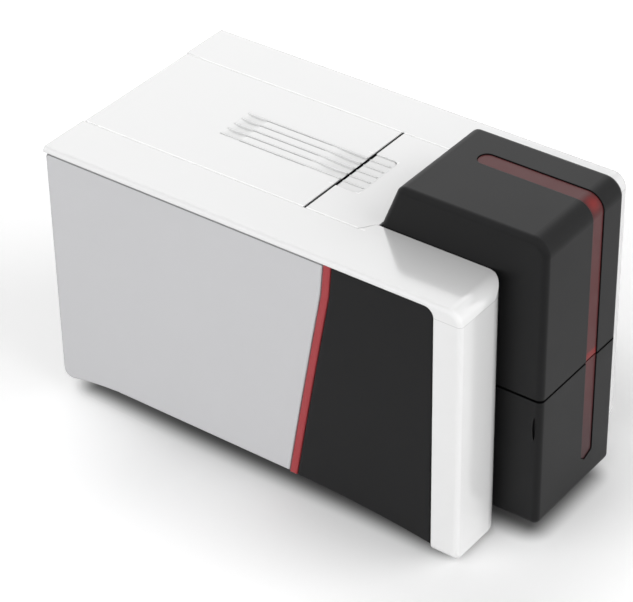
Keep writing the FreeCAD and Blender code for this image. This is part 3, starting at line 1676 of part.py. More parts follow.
def headBracket():
    # Folded sheet: a flange under the cover and a web down to the head, lightened by two holes.
    headTop = cardTop + s.web_lift + s.web_thickness + s.seam + s.head_height
    ceiling = top - s.cover_thickness
    flange = block(
        (-s.bracket_half_width, s.head_y - s.bracket_flange, ceiling - s.sheet_thickness),
        (s.bracket_half_width, s.head_y + s.bracket_flange, ceiling),
    )
    webHalf = s.bracket_web / 2
    web = block(
        (-s.head_half_width + s.card_edge_margin, s.head_y - webHalf, headTop),
        (s.head_half_width - s.card_edge_margin, s.head_y + webHalf, ceiling),
    )
    holes = []
    middle = (headTop + ceiling) / 2
    for x in (-s.head_half_width / 2, s.head_half_width / 2):
        holes.append(rod("y", (x, s.head_y - s.overrun, middle), s.overrun * 2, s.bracket_hole_radius))
    keep("head_bracket", joined([flange, minus(web, holes)]))


def coverLatch():
    # The hook under the cover's front edge and the spring leaf that holds it.
    half = s.pad_stem_half
    body = newBody("cover_hook")
    low = top - s.cover_skirt - s.hook_length
    backY = slotRear + s.hook_inset
    profile = [
        at(backY, top - s.cover_thickness),
        at(backY, low),
        at(backY + s.hook_toe, low),
        at(backY + s.hook_toe, low + s.hook_toe),
        at(backY + s.hook_thickness + s.hook_toe, low + s.hook_toe * 2),
        at(backY + s.hook_thickness + s.hook_toe, top - s.cover_thickness),
    ]
    pad(body, outline(body, "YZ_Plane", -half, profile), half * 2)
    keep("cover_hook", body)
    stemFoot = top - s.pad_sink - s.pad_thickness - s.pad_stem_length
    leafTop = stemFoot - s.pad_travel - s.seam
    leafY = padFront + s.pad_rib_margin
    low = (-plateInner, leafY, leafTop - s.sheet_thickness)
    leaf = block(low, (plateInner, leafY + s.leaf_depth, leafTop))
    keep("latch_bar", leaf)


def rearPanel():
    body = newBody("rear_panel")
    half = halfWidth - s.panel_thickness
    middle = railInner - s.seam
    roof = top - s.cover_barrel_radius * 2 - s.cover_barrel_gap
    outlinePoints = [
        at(-half, panUnder),
        at(half, panUnder),
        at(half, railUnder),
        at(middle, railUnder),
        at(middle, roof),
        at(-middle, roof),
        at(-middle, railUnder),
        at(-half, railUnder),
    ]
    sketch = outline(body, "XZ_Plane", -rearFace, outlinePoints)
    pad(body, sketch, s.rear_panel_thickness)
    start = -(rearFace + s.overrun)
    depth = s.overrun + s.rear_panel_thickness * 2
    ventLow = cardPlane - s.vent_drop
    for index in range(int(s.vent_count.value)):
        x = s.vent_pitch * index - s.vent_pitch * (s.vent_count - 1) / 2
        slot = [
            at(x - s.vent_width / 2, ventLow),
            at(x + s.vent_width / 2, ventLow),
            at(x + s.vent_width / 2, ventLow + s.vent_height),
            at(x - s.vent_width / 2, ventLow + s.vent_height),
        ]
        pocket(body, outline(body, "XZ_Plane", start, slot), depth, backward=True)
    for name, (z, width, height) in ports.items():
        opening = [
            at(-boardOuter - width, z - height / 2),
            at(-boardOuter, z - height / 2),
            at(-boardOuter, z + height / 2),
            at(-boardOuter - width, z + height / 2),
        ]
        pocket(body, outline(body, "XZ_Plane", start, opening), depth, backward=True)
    w = s.switch_width / 2
    h = s.switch_height / 2
    opening = [
        at(switchX - w, switchZ - h),
        at(switchX + w, switchZ - h),
        at(switchX + w, switchZ + h),
        at(switchX - w, switchZ + h),
    ]
    pocket(body, outline(body, "XZ_Plane", start, opening), depth, backward=True)
    return keep("rear_panel", body)


# Sockets on the rear: height on the panel, width and height of each.
boardOuter = plateOuter + s.board_standoff + s.board_thickness
boardLow = panUnder + s.board_rise
boardHigh = cardPlane - s.board_drop
# Where each socket lies up the circuit board, as a share of the board's height.
usbShare = 8 / 41
networkShare = 19 / 41
inletShare = 31 / 41
boardHeight = boardHigh - boardLow
ports = {
    "usb_port": (boardLow + boardHeight * usbShare, s.usb_width, s.usb_height),
    "network_port": (boardLow + boardHeight * networkShare, s.network_width, s.network_height),
    "power_inlet": (boardLow + boardHeight * inletShare, s.inlet_width, s.inlet_height),
}
# Place of the switch between the right plate and the panel's end, as a share.
switchShare = 67 / 172
switchX = plateOuter + (halfWidth - s.panel_thickness - plateOuter) * switchShare
switchZ = panUnder + s.switch_rise


def rearPorts():
    for name, (z, width, height) in ports.items():
        low = (-boardOuter - width, rearFace - s.port_depth, z - height / 2)
        high = (-boardOuter, rearFace, z + height / 2)
        middle = -boardOuter - width / 2
        rim = s.port_rim
        innerLow = (low[0] + rim, rearFace - s.socket_depth, low[2] + rim)
        innerHigh = (high[0] - rim, rearFace + s.overrun, high[2] - rim)
        case = block(low, high)
        if name == "power_inlet":
            start = (middle, rearFace - s.socket_depth, z)
            hole = rod("y", start, s.socket_depth + s.overrun, s.inlet_bore_radius)
            pin = rod("y", start, s.socket_depth - rim, s.inlet_pin_radius)
            keep(name, joined([minus(case, [hole]), pin]))
        else:
            keep(name, minus(case, [block(innerLow, innerHigh)]))


def powerSwitch():
    # A rocker in its frame, turning a few degrees about a pin across it.
    w = s.switch_width / 2
    h = s.switch_height / 2
    frameLow = (switchX - w, rearFace - s.switch_depth, switchZ - h)
    frameHigh = (switchX + w, rearFace, switchZ + h)
    rim = s.port_rim
    wellLow = (frameLow[0] + rim, rearFace - s.switch_depth + rim, frameLow[2] + rim)
    wellHigh = (frameHigh[0] - rim, rearFace + s.overrun, frameHigh[2] - rim)
    hollow = block(wellLow, wellHigh)
    axisY = rearFace - s.rocker_axis_depth
    pinStart = (frameLow[0] + s.seam, axisY, switchZ)
    pinHole = rod("x", pinStart, s.switch_width - s.seam * 2, s.rocker_pin_radius + s.pin_clearance)
    keep("switch_frame", minus(block(frameLow, frameHigh), [hollow, pinHole]))
    body = newBody("rocker_paddle")
    reach = h - rim - s.rocker_gap
    lean = s.rocker_lean
    profile = [
        at(axisY - s.rocker_back, switchZ),
        at(rearFace - s.rocker_sink, switchZ - reach),
        at(rearFace + lean - s.rocker_sink, switchZ - reach),
        at(rearFace - s.rocker_sink, switchZ),
        at(rearFace + lean - s.rocker_sink, switchZ + reach),
        at(rearFace - s.rocker_sink, switchZ + reach),
    ]
    half = w - rim - s.rocker_gap
    pad(body, outline(body, "YZ_Plane", switchX - half, profile), half * 2)
    pinLow = switchX - w + rim - s.rocker_pin_sink
    span = half * 2 + (s.rocker_gap + s.rocker_pin_sink) * 2
    pin = rod("x", (pinLow, axisY, switchZ), span, s.rocker_pin_radius)
    keep("power_rocker", joined([body, pin]))


def circuitBoard():
    x = plateOuter + s.board_standoff
    low = (-x - s.board_thickness, -s.board_front_y, boardLow)
    boardRear = rearFace - s.port_depth / 2
    high = (-x, boardRear, boardHigh)
    board = block(low, high)
    keep("circuit_board", board)
    posts = []
    for y in (-s.board_front_y + s.board_margin, boardRear - s.board_post_inset):
        for z in (boardLow + s.board_margin, boardHigh - s.board_margin):
            posts.append(rod("x", (-x, y, z), s.board_standoff, s.board_post_radius))
    keep("board_posts", joined(posts))
    outer = -x - s.board_thickness
    processor = block(
        (outer - s.chip_height, zero, boardLow + s.chip_side),
        (outer, s.chip_side, boardLow + s.chip_side * 2),
    )
    driver = block(
        (outer - s.chip_height, s.chip_side * 2, boardLow + s.chip_side),
        (outer, s.chip_side * 2 + s.chip_side / 2, boardLow + s.chip_side * 2),
    )
    pieces = [processor, driver]
    for index in range(int(s.capacitor_count.value)):
        y = -s.board_front_y + s.board_margin * 2 + s.capacitor_pitch * index
        start = (outer - s.capacitor_height, y, boardLow + s.chip_side)
        pieces.append(rod("x", start, s.capacitor_height, s.capacitor_radius))
    keep("board_parts", joined(pieces))


basePan()
rubberFeet()
for side, sign in (("left", -1), ("right", 1)):
    chassisPlate(side, sign)
rollerBushes()
for name in rollers:
    rollerPart(name)
driveBelt()
driveMotor()
cardBed()
cardMagazine()
cardWeight()
outputBin()
doorPins()
exitChute()
hopperBrackets()
takeupWheel = ribbonDrive()
spool("takeup_spool", takeupY, s.takeup_roll_radius, takeupWheel)
spool("supply_spool", supplyY, s.supply_roll_radius, None)
ribbonCassette()
ribbonWeb()
printHead()
headBracket()
coverLatch()
rearPanel()
rearPorts()
powerSwitch()
circuitBoard()

doc.recompute()
problems = []
for thing in doc.Objects:
    if "Invalid" in thing.State or "Error" in thing.State:
        problems.append(f"{thing.Label} {thing.State}")
for thing in subParts:
    if thing.Shape.isNull() or not thing.Shape.isValid():
        problems.append(f"{thing.Label} has no sound shape")
if problems:
    raise RuntimeError("; ".join(problems))

os.makedirs("parts", exist_ok=True)
for thing in subParts:
    thing.Shape.exportStep(f"parts/{thing.Label}.step")
print(len(subParts), "nodes written")
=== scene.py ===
import math

import bmesh
import bpy
from mathutils import Matrix, Vector


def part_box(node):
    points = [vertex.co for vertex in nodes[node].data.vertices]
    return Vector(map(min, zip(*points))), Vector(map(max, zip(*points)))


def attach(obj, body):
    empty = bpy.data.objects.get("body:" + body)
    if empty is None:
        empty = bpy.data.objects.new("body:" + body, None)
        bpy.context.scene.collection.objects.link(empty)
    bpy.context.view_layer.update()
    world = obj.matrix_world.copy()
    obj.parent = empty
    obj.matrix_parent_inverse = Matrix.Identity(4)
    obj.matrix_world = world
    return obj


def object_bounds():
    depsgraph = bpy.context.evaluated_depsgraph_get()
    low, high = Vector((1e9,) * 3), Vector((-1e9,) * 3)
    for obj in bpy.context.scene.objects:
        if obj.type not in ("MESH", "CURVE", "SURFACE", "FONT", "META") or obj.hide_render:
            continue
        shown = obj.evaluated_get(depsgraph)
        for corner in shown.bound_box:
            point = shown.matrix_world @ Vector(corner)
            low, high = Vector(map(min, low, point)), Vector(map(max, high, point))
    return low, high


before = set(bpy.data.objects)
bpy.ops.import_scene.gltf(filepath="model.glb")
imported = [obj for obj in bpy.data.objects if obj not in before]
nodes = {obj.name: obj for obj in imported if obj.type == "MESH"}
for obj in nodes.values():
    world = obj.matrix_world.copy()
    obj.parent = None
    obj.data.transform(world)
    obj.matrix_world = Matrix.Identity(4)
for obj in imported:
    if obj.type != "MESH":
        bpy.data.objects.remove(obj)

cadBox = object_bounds()
mm = 0.001
print("frame loaded:", len(nodes), "pieces")


def boxMm(name):
    # lowest and highest corner of a piece of the frame, in mm
    return [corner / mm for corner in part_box(name)]


coverLow, coverHigh = boxMm("top_cover")
deckLow, deckHigh = boxMm("front_deck")
padLow, padHigh = boxMm("release_button")
panelHigh = boxMm("left_grey_panel")[1]
shellLow = boxMm("left_shell")[0]
hopperLow, hopperHigh = boxMm("hopper_shell")
doorHigh = boxMm("output_door")[1]
stripLow, stripHigh = boxMm("hopper_window")
rearLow, rearHigh = boxMm("rear_panel")
topMm = deckHigh.z
splitMm = (hopperLow.z + doorHigh.z) / 2


def linear(hexCode):
    # an sRGB hex colour as linear light, with alpha
    channels = []
    for start in (0, 2, 4):
        value = int(hexCode[start:start + 2], 16) / 255
        channels.append(value / 12.92 if value <= 0.04045 else ((value + 0.055) / 1.055) ** 2.4)
    return (*channels, 1.0)


def add(tree, kind, settings=None, links=None, **fields):
    # one node: settings go on its sockets, links bring (node, output) into them, fields on itself
    node = tree.nodes.new("ShaderNode" + kind)
    for field, value in fields.items():
        setattr(node, field, value)
    for socket, value in (settings or {}).items():
        node.inputs[socket].default_value = value
    for socket, (source, output) in (links or {}).items():
        tree.links.new(source.outputs[output], node.inputs[socket])
    return node


def joined(tree, kind, *sources):
    # several values as one: MULTIPLY, MAXIMUM or MINIMUM of them all
    total = sources[0]
    for source in sources[1:]:
        total = (add(tree, "Math", links={0: total, 1: source}, operation=kind), "Value")
    return total


def newMaterial(name):
    material = bpy.data.materials.new(name)
    material.use_nodes = True
    material.node_tree.nodes.clear()
    return material, material.node_tree


def finishWith(material, tree, shader):
    add(tree, "OutputMaterial", links={"Surface": (shader, 0)})
    return material


# Painted light on the white mouldings, by place: a painted shade line at the seam of crown and post, painted
# highlights along the side gaps and round the press pad, and painted shade in the scoops. Each tone is how
# much its mark lightens or darkens. The other numbers are mm: depths below the top, distances from the front
# of shell, deck and pad or from the sides of cover and pad, half widths of lines, and scoopRear, a place
# along the machine.
whitePaintedLight = {
    "crownDrop": 11.0, "postDepth": 21.5, "seamShadeHalf": 0.16, "seamShadeTone": -0.34,
    "gapShift": 0.25, "gapHalf": 0.8, "gapFront": 3.9,
    "padAside": 0.15, "padAhead": 0.2, "padHalf": 0.45, "highlightTone": 0.17, "highlightDepth": 0.6,
    "scoopInset": 0.05, "scoopRear": 101.0, "scoopRim": 0.05, "scoopSunk": 0.7, "scoopFloor": 0.98,
    "scoopShadeTone": -0.1,
}


def whitePaintedLightTones(tree, place, colour):
    marks = whitePaintedLight

    def step(kind, value, source, extra=0.0):
        return (add(tree, "Math", {1: value * mm, 2: extra * mm}, {0: source}, operation=kind), "Value")

    parts = add(tree, "SeparateXYZ", links={"Vector": (place, "Object")})
    across = (add(tree, "Math", links={0: (parts, "X")}, operation="ABSOLUTE"), "Value")
    deep, high = (parts, "Y"), (parts, "Z")
    nearTop = step("GREATER_THAN", topMm - marks["highlightDepth"], high)
    # painted shade: a dark level line where the crown meets the post, the shade of their seam
    seamShade = joined(tree, "MULTIPLY",
                      step("COMPARE", topMm - marks["crownDrop"], high, marks["seamShadeHalf"]),
                      step("LESS_THAN", shellLow.y + marks["postDepth"], deep))
    # painted highlights: light rims along the side gaps of the cover and round the press pad
    gapHighlight = joined(tree, "MULTIPLY",
                    step("COMPARE", coverHigh.x + marks["gapShift"], across, marks["gapHalf"]), nearTop,
                    step("GREATER_THAN", deckLow.y + marks["gapFront"], deep))
    front = padLow.y - marks["padAhead"]
    outward = step("SUBTRACT", padHigh.x + marks["padAside"], across)
    forward = (add(tree, "Math", {0: front * mm}, {1: deep}, operation="SUBTRACT"), "Value")
    border = joined(tree, "MAXIMUM", outward, forward)
    padHighlight = joined(tree, "MULTIPLY", step("COMPARE", 0.0, border, marks["padHalf"]), nearTop,
                    step("LESS_THAN", 0.0, deep))
    highlights = joined(tree, "MAXIMUM", gapHighlight, padHighlight)
    # painted shade: the scoops between the ribs are a touch greyer than the crowns
    sunk, rim = (topMm - marks[name] for name in ("scoopSunk", "scoopRim"))
    below = add(tree, "MapRange", {"From Min": sunk * mm, "From Max": rim * mm, "To Min": 1.0, "To Max": 0.0},
                {"Value": high})
    scoops = joined(tree, "MULTIPLY", (below, "Result"),
                    step("LESS_THAN", padHigh.x - marks["scoopInset"], across),
                    step("GREATER_THAN", front, deep), step("LESS_THAN", marks["scoopRear"], deep),
                    step("GREATER_THAN", topMm - marks["scoopFloor"], high))
    tone = add(tree, "Math", {1: marks["seamShadeTone"], 2: 1.0}, {0: seamShade}, operation="MULTIPLY_ADD")
    for source, name in ((highlights, "highlightTone"), (scoops, "scoopShadeTone")):
        tone = add(tree, "Math", {1: marks[name]}, {0: source, 2: (tone, "Value")}, operation="MULTIPLY_ADD")
    return add(tree, "VectorMath", links={0: (colour, "Vector"), 1: (tone, "Value")}, operation="MULTIPLY")


# painted shade in the gap where the grey panel meets the white rail: a dark line along it and round its rear
# corner
greyEdgeShade = {"radius": 4.5, "wide": 1.6, "tone": 0.45}


def greyEdgeShadeTones(tree, place, colour):
    radius = greyEdgeShade["radius"]
    parts = add(tree, "SeparateXYZ", links={"Vector": (place, "Object")})
    rests = []
    for axis, limit in (("Y", panelHigh.y), ("Z", panelHigh.z)):
        past = add(tree, "Math", {1: (limit - radius) * mm}, {0: (parts, axis)}, operation="SUBTRACT")
        rests.append((add(tree, "Math", {1: 0.0}, {0: (past, "Value")}, operation="MAXIMUM"), "Value"))
    corner = add(tree, "CombineXYZ", links={"X": rests[0], "Y": rests[1]})
    reach = add(tree, "VectorMath", links={0: (corner, "Vector")}, operation="LENGTH")
    line = add(tree, "Math", {1: (radius - greyEdgeShade["wide"]) * mm}, {0: (reach, "Value")},
               operation="GREATER_THAN")
    tone = add(tree, "MapRange", {"To Min": 1.0, "To Max": greyEdgeShade["tone"]}, {"Value": (line, "Value")})
    return add(tree, "VectorMath", links={0: (colour, "Vector"), 1: (tone, "Result")}, operation="MULTIPLY")


# the black joint between the two hoppers: hardly any shine within a millimetre of it
hopperJoint = {"half": 1.15, "tone": 0.12}


def jointGloss(tree, place, gloss):
    parts = add(tree, "SeparateXYZ", links={"Vector": (place, "Object")})
    near = add(tree, "Math", {1: splitMm * mm, 2: hopperJoint["half"] * mm}, {0: (parts, "Z")},
               operation="COMPARE")
    return add(tree, "MapRange", {"To Min": gloss, "To Max": gloss * hopperJoint["tone"]},
               {"Value": (near, "Value")})


paintedLightTones = {"white": whitePaintedLightTones, "grey": greyEdgeShadeTones}
bevelSamples = 4
grainDepth = 0.25  # depth of the bump as a share of the grain's size


def surface(tree, look):
    # moulded, painted or drawn surface: grain as bump, faint patches in colour and gloss, soft edges
    place = add(tree, "TexCoord")
    grain = add(tree, "TexNoise", {"Scale": 1 / (look["grainMm"] * mm), "Detail": 3.0, "Roughness": 0.55},
                {"Vector": (place, "Object")})
    patches = add(tree, "TexNoise", {"Scale": 1 / (look["patchMm"] * mm), "Detail": 2.0},
                  {"Vector": (place, "Object")})
    shade = add(tree, "MapRange", {"To Min": look["patchLow"], "To Max": 1.0}, {"Value": (patches, "Fac")})
    colour = add(tree, "VectorMath", {0: linear(look["hex"])[:3]}, {1: (shade, "Result")},
                 operation="MULTIPLY")
    # painted highlight and painted shade by place, on the white and grey mouldings
    if look["marks"] in paintedLightTones:
        colour = paintedLightTones[look["marks"]](tree, place, colour)
    gloss = add(tree, "MapRange", {"To Min": look["roughness"] - look["roughSpread"],
                                   "To Max": look["roughness"] + look["roughSpread"]},
                {"Value": (patches, "Fac")})
    edge = add(tree, "Bevel", {"Radius": look["edgeMm"] * mm}, samples=bevelSamples)
    bump = add(tree, "Bump", {"Strength": look["bump"], "Distance": look["grainMm"] * mm * grainDepth},
               {"Height": (grain, "Fac"), "Normal": (edge, "Normal")})
    shader = add(tree, "BsdfPrincipled", {"Metallic": look["metal"], "Specular IOR Level": look["specular"],
                                          "Coat Weight": look["coat"], "Coat IOR": look["coatIor"],
                                          "Coat Roughness": look["coatRoughness"]},
                 {"Base Color": (colour, "Vector"), "Roughness": (gloss, "Result"),
                  "Normal": (bump, "Normal"), "Coat Normal": (edge, "Normal")})
    if look["marks"] == "black":
        dull = jointGloss(tree, place, look["specular"])
        tree.links.new(dull.outputs["Result"], shader.inputs["Specular IOR Level"])
    return shader


def plainLook(hexCode, roughness, **others):
    look = {"hex": hexCode, "roughness": roughness, "roughSpread": 0.03, "metal": 0.0, "grainMm": 0.6,
            "patchMm": 40, "patchLow": 0.97, "bump": 0.15, "edgeMm": 0.4, "specular": 0.5,
            "coat": 0.0, "coatRoughness": 0.1, "coatIor": 1.5, "marks": None}
    look.update(others)
    return look


looks = {
    # ABS, moulded in a polished tool and lacquered: clean white that mirrors the dark hopper softly
    "absWhiteLacquered": plainLook("e8e8e8", 0.2, edgeMm=0.9, bump=0.04, specular=0.9, patchLow=0.985,
                                   coat=1.0, coatRoughness=0.12, coatIor=1.7, marks="white"),
    # ABS, moulded in a spark-eroded tool: deep black that greys where the light grazes it
    "absBlackGrained": plainLook("111112", 0.5, grainMm=0.45, bump=0.3, patchLow=0.9, specular=0.24,
                                 edgeMm=2.0),
    # ABS, painted light grey: even, slightly cool and without gloss
    "paintedGreyAbs": plainLook("c5c5c7", 0.5, grainMm=0.5, bump=0.12, patchLow=0.98, edgeMm=2.5,
                                marks="grey"),
    # ABS, moulded in dull red: a deep red bar, soft gloss
    "absRedMoulded": plainLook("a03338", 0.42, grainMm=0.7, bump=0.08, patchLow=0.95),
    # polycarbonate blend, moulded black: a dark shell with a blurred shine
    "pcBlackMoulded": plainLook("0a0a0b", 0.4, grainMm=0.5, bump=0.12, patchLow=0.9, edgeMm=0.7,
                                specular=0.25, marks="black"),
    # zinc plated steel sheet, rolled: grey metal with faint cloudy spangle
    "zincSheetRolled": plainLook("b4b6b9", 0.38, metal=1.0, patchMm=9, patchLow=0.82, roughSpread=0.07,
                                 edgeMm=0.2),
    # steel, turned and ground: bright bar with fine marks
    "steelTurned": plainLook("c9cacc", 0.24, metal=1.0, patchMm=3, patchLow=0.9, edgeMm=0.15),
    # nitrile rubber, ground on its shaft: dead black-grey with a sooty grain
    "rubberGround": plainLook("2b2b2d", 0.78, grainMm=0.35, bump=0.5, patchMm=8, patchLow=0.8),
    # silicone rubber, cast: tacky blue sleeve, slightly shiny
    "siliconeCast": plainLook("2f5f9e", 0.35, patchMm=12, patchLow=0.93),
    # neoprene belt, moulded: matt black
    "neopreneMoulded": plainLook("1b1b1b", 0.7, grainMm=0.4, bump=0.4),
    # acetal, moulded and left natural: creamy white, waxy
    "acetalNatural": plainLook("e6e3d8", 0.4, patchLow=0.95),
    # polystyrene, moulded dark grey: working plastic inside the machine
    "psDarkGrey": plainLook("3a3b3e", 0.5, grainMm=0.5, bump=0.3, patchLow=0.93),
    # grey iron, cast and blackened: heavy, slightly rough
    "ironBlackened": plainLook("3c3c3f", 0.55, metal=0.6, grainMm=0.8, bump=0.6, patchMm=10,
                               patchLow=0.85),
    # steel can, drawn and nickel plated: darker metal with a soft shine
    "canNickelled": plainLook("8f9093", 0.3, metal=1.0, patchMm=14, patchLow=0.9),
    # aluminium, extruded and milled: pale metal with fine clouding
    "aluminiumMilled": plainLook("cfd1d4", 0.33, metal=1.0, patchMm=5, patchLow=0.92, edgeMm=0.2),
    # polyester film, ink coated: near-black blue with a bright shine
    "filmCoated": plainLook("1a1b33", 0.16, patchMm=20, patchLow=0.9, bump=0.02),
    # polybutylene, moulded pale: the ivory block inside a data socket
    "pbtMouldedPale": plainLook("b7b5aa", 0.45, grainMm=0.4, bump=0.1),
    # laminate, etched and lacquered green: glassy green board
    "laminateGreen": plainLook("1d6b3c", 0.28, patchMm=6, patchLow=0.85, bump=0.1),
    # brass, turned: yellow metal posts
    "brassTurned": plainLook("d9b968", 0.26, metal=1.0, patchMm=3, patchLow=0.93),
    # epoxy, moulded black: chip bodies with a chalky face
    "epoxyMoulded": plainLook("222224", 0.6, grainMm=0.3, bump=0.3),
    # ABS, moulded black with a fine grain: rear panel, switch, inlet and network port
    "absBlackRear": plainLook("262627", 0.52, grainMm=0.5, bump=0.35, patchLow=0.92),
    # ABS, lacquered in a brighter white than the mouldings: narrow lips whose brightness paints the highlight
    # lines along the gaps
    "lipWhiteHighlight": plainLook("fdfdfd", 0.3, grainMm=0.5, bump=0.03, specular=0.9, edgeMm=0.15,
                             patchLow=1.0, coat=1.0, coatRoughness=0.2, coatIor=1.8),
    # foam rubber, cut in strips: a black strip in the gap of the cover that paints the shade in the slot
    "slotShadeFoam": plainLook("0b0b0c", 0.9, grainMm=0.5, bump=0.6, specular=0.1),
    # ABS, moulded grey: fine grey strips that paint a thin shade line along each rib
    "ribShadeGrey": plainLook("8d8d90", 0.6, grainMm=0.3, bump=0.1),
    # stainless steel, cold headed: small bright screws
    "stainlessHeaded": plainLook("bfc0c2", 0.28, metal=1.0, patchMm=2, patchLow=0.9, edgeMm=0.1),
    # rubber, pressed: feet
    "rubberPressed": plainLook("1f1f20", 0.8, grainMm=0.6, bump=0.4),
}


def lookMaterial(name):
    material, tree = newMaterial(name)
    return finishWith(material, tree, surface(tree, looks[name]))


def sleeveMaterial(name, sleeve, shaft, half):
    # a roller turned as one piece: the sleeve's finish up to its half length, the shaft's beyond
    material, tree = newMaterial(name)
    place = add(tree, "TexCoord")
    parts = add(tree, "SeparateXYZ", links={"Vector": (place, "Object")})
    across = add(tree, "Math", links={0: (parts, "X")}, operation="ABSOLUTE")
    beyond = add(tree, "Math", {1: half * mm}, {0: (across, "Value")}, operation="GREATER_THAN")
    both = add(tree, "MixShader", links={"Fac": (beyond, "Value")})
    for socket, look in ((1, sleeve), (2, shaft)):
        tree.links.new(surface(tree, looks[look]).outputs[0], both.inputs[socket])
    return finishWith(material, tree, both)


# Acrylic, moulded and tinted smoky red: dark brown-red, with a painted red glow where it bends and above the
# split, and painted shade toward its foot.
# bendBack and bendDown place the bend behind the hopper's front and under its top, in mm.
window = {"hex": "4c1719", "glowHex": "781817", "footShadeHex": "321216", "roughness": 0.24, "specular": 0.33,
          "edgeMm": 0.5, "cloudMm": 30, "bendBack": 4.0, "bendDown": 3.5, "bendMm": 9,
          "glowMm": 7.0, "fadeMm": 2, "footMm": 34}


def windowMaterial(name):
    material, tree = newMaterial(name)
    edge = add(tree, "Bevel", {"Radius": window["edgeMm"] * mm}, samples=bevelSamples)
    place = add(tree, "TexCoord")
    parts = add(tree, "SeparateXYZ", links={"Vector": (place, "Object")})
    clouds = add(tree, "TexNoise", {"Scale": 1 / (window["cloudMm"] * mm), "Detail": 2.0},
                 {"Vector": (place, "Object")})
    gloss = add(tree, "MapRange", {"To Min": window["roughness"], "To Max": window["roughness"] * 2},
                {"Value": (clouds, "Fac")})
    # painted shade: darker toward the foot
    height = add(tree, "MapRange", {"From Min": window["footMm"] * mm, "From Max": splitMm * mm},
                 {"Value": (parts, "Z")})
    shadedTint = add(tree, "MixRGB", {"Color1": linear(window["footShadeHex"]), "Color2": linear(window["hex"])},
               {"Fac": (height, "Result")})
    # painted glow: lighter red at the bend and above the split
    middle = Vector(((stripLow.x + stripHigh.x) / 2, hopperLow.y + window["bendBack"],
                     hopperHigh.z - window["bendDown"]))
    fromBend = add(tree, "VectorMath", {1: middle * mm}, {0: (place, "Object")}, operation="DISTANCE")
    bend = add(tree, "MapRange", {"From Max": window["bendMm"] * mm, "To Min": 1.0, "To Max": 0.0},
               {"Value": (fromBend, "Value")}, interpolation_type="SMOOTHSTEP")
    over = add(tree, "Math", {1: splitMm * mm}, {0: (parts, "Z")}, operation="GREATER_THAN")
    end = splitMm + window["glowMm"]
    under = add(tree, "MapRange", {"From Min": (end - window["fadeMm"]) * mm, "From Max": end * mm,
                                   "To Min": 1.0, "To Max": 0.0}, {"Value": (parts, "Z")})
    splitGlow = joined(tree, "MULTIPLY", (over, "Value"), (under, "Result"))
    glow = joined(tree, "MAXIMUM", (bend, "Result"), splitGlow)
    colour = add(tree, "MixRGB", {"Color2": linear(window["glowHex"])},
                 {"Fac": glow, "Color1": (shadedTint, "Color")})
    shader = add(tree, "BsdfPrincipled", {"Specular IOR Level": window["specular"]},
                 {"Base Color": (colour, "Color"), "Roughness": (gloss, "Result"),
                  "Normal": (edge, "Normal")})
    return finishWith(material, tree, shader)


finishes = {
    "absWhiteLacquered": ["left_shell", "right_shell", "front_deck", "release_button", "top_cover"],
    "absBlackGrained": ["left_black_panel", "right_black_panel"],
    "absRedMoulded": ["left_red_stripe", "right_red_stripe"],
    "paintedGreyAbs": ["left_grey_panel", "right_grey_panel"],
    "pcBlackMoulded": ["hopper_shell", "output_door"],
    "zincSheetRolled": ["base_pan", "left_chassis_plate", "right_chassis_plate", "card_bed", "exit_chute",
                        "hopper_brackets", "head_bracket", "latch_bar"],
    "steelTurned": ["cover_hinge_pins", "door_pins", "motor_pulley"],
    "rubberPressed": ["rubber_feet"],
    "acetalNatural": ["roller_bushes", "cover_hook", "ribbon_pinion", "takeup_spool_core"],
    "neopreneMoulded": ["drive_belt"],
    "canNickelled": ["drive_motor", "ribbon_motor"],
    "psDarkGrey": ["card_magazine", "output_bin", "supply_spool_core", "ribbon_cassette"],
    "ironBlackened": ["card_weight"],
    "filmCoated": ["ribbon_web", "takeup_spool_roll", "supply_spool_roll"],
    "aluminiumMilled": ["print_head"],
    "absBlackRear": ["rear_panel", "switch_frame", "power_rocker", "network_port", "power_inlet"],
    "pbtMouldedPale": ["usb_port"],
    "laminateGreen": ["circuit_board"],
    "brassTurned": ["board_posts"],
    "epoxyMoulded": ["board_parts"],
}
# the rollers by their sleeves, and half the length of each sleeve in mm
sleeves = {
    "rubberGround": {"pickup_roller": 22.05, "feed_roller": 30.05, "transport_roller": 30.05,
                     "platen_roller": 30.05, "exit_roller": 30.05, "front_pinch_roller": 30.05,
                     "rear_pinch_roller": 30.05},
    "siliconeCast": {"cleaning_roller": 30.05},
}


def dress(name, material):
    for slot in nodes[name].material_slots:
        slot.material = material


for finish, names in finishes.items():
    made = lookMaterial(finish)
    for name in names:
        dress(name, made)
for sleeve, rollers in sleeves.items():
    for name, half in rollers.items():
        dress(name, sleeveMaterial(name + "Steel", sleeve, "steelTurned", half))
smoky = windowMaterial("acrylicSmokyRed")
for name in ("hopper_window", "door_window"):
    dress(name, smoky)
print("finishes on the frame: done")

madeLooks = {}


def addPiece(name, mesh, look, body):
    # puts a finished mesh on its body, with its finish
    if look not in madeLooks:
        madeLooks[look] = lookMaterial(look)
    item = bpy.data.objects.new(name, mesh)
    bpy.context.scene.collection.objects.link(item)
    mesh.materials.append(madeLooks[look])
    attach(item, body)


def finishMesh(name, shape):
    bmesh.ops.recalc_face_normals(shape, faces=shape.faces)
    mesh = bpy.data.meshes.new(name)
    shape.to_mesh(mesh)
    shape.free()
    return mesh


def strip(name, profile, axis, start, end):
    # a closed profile in mm drawn out along x or y
    shape = bmesh.new()
    rings = []
    for along in (start, end):
        ring = []
        for a, b in profile:
            spot = (along, a, b) if axis == "x" else (a, along, b)
            ring.append(shape.verts.new(Vector(spot) * mm))
        rings.append(ring)
    count = len(profile)
    for index in range(count):
        after = (index + 1) % count
        shape.faces.new((rings[0][index], rings[0][after], rings[1][after], rings[1][index]))
    shape.faces.new(rings[0][::-1])
    shape.faces.new(rings[1])
    return finishMesh(name, shape)


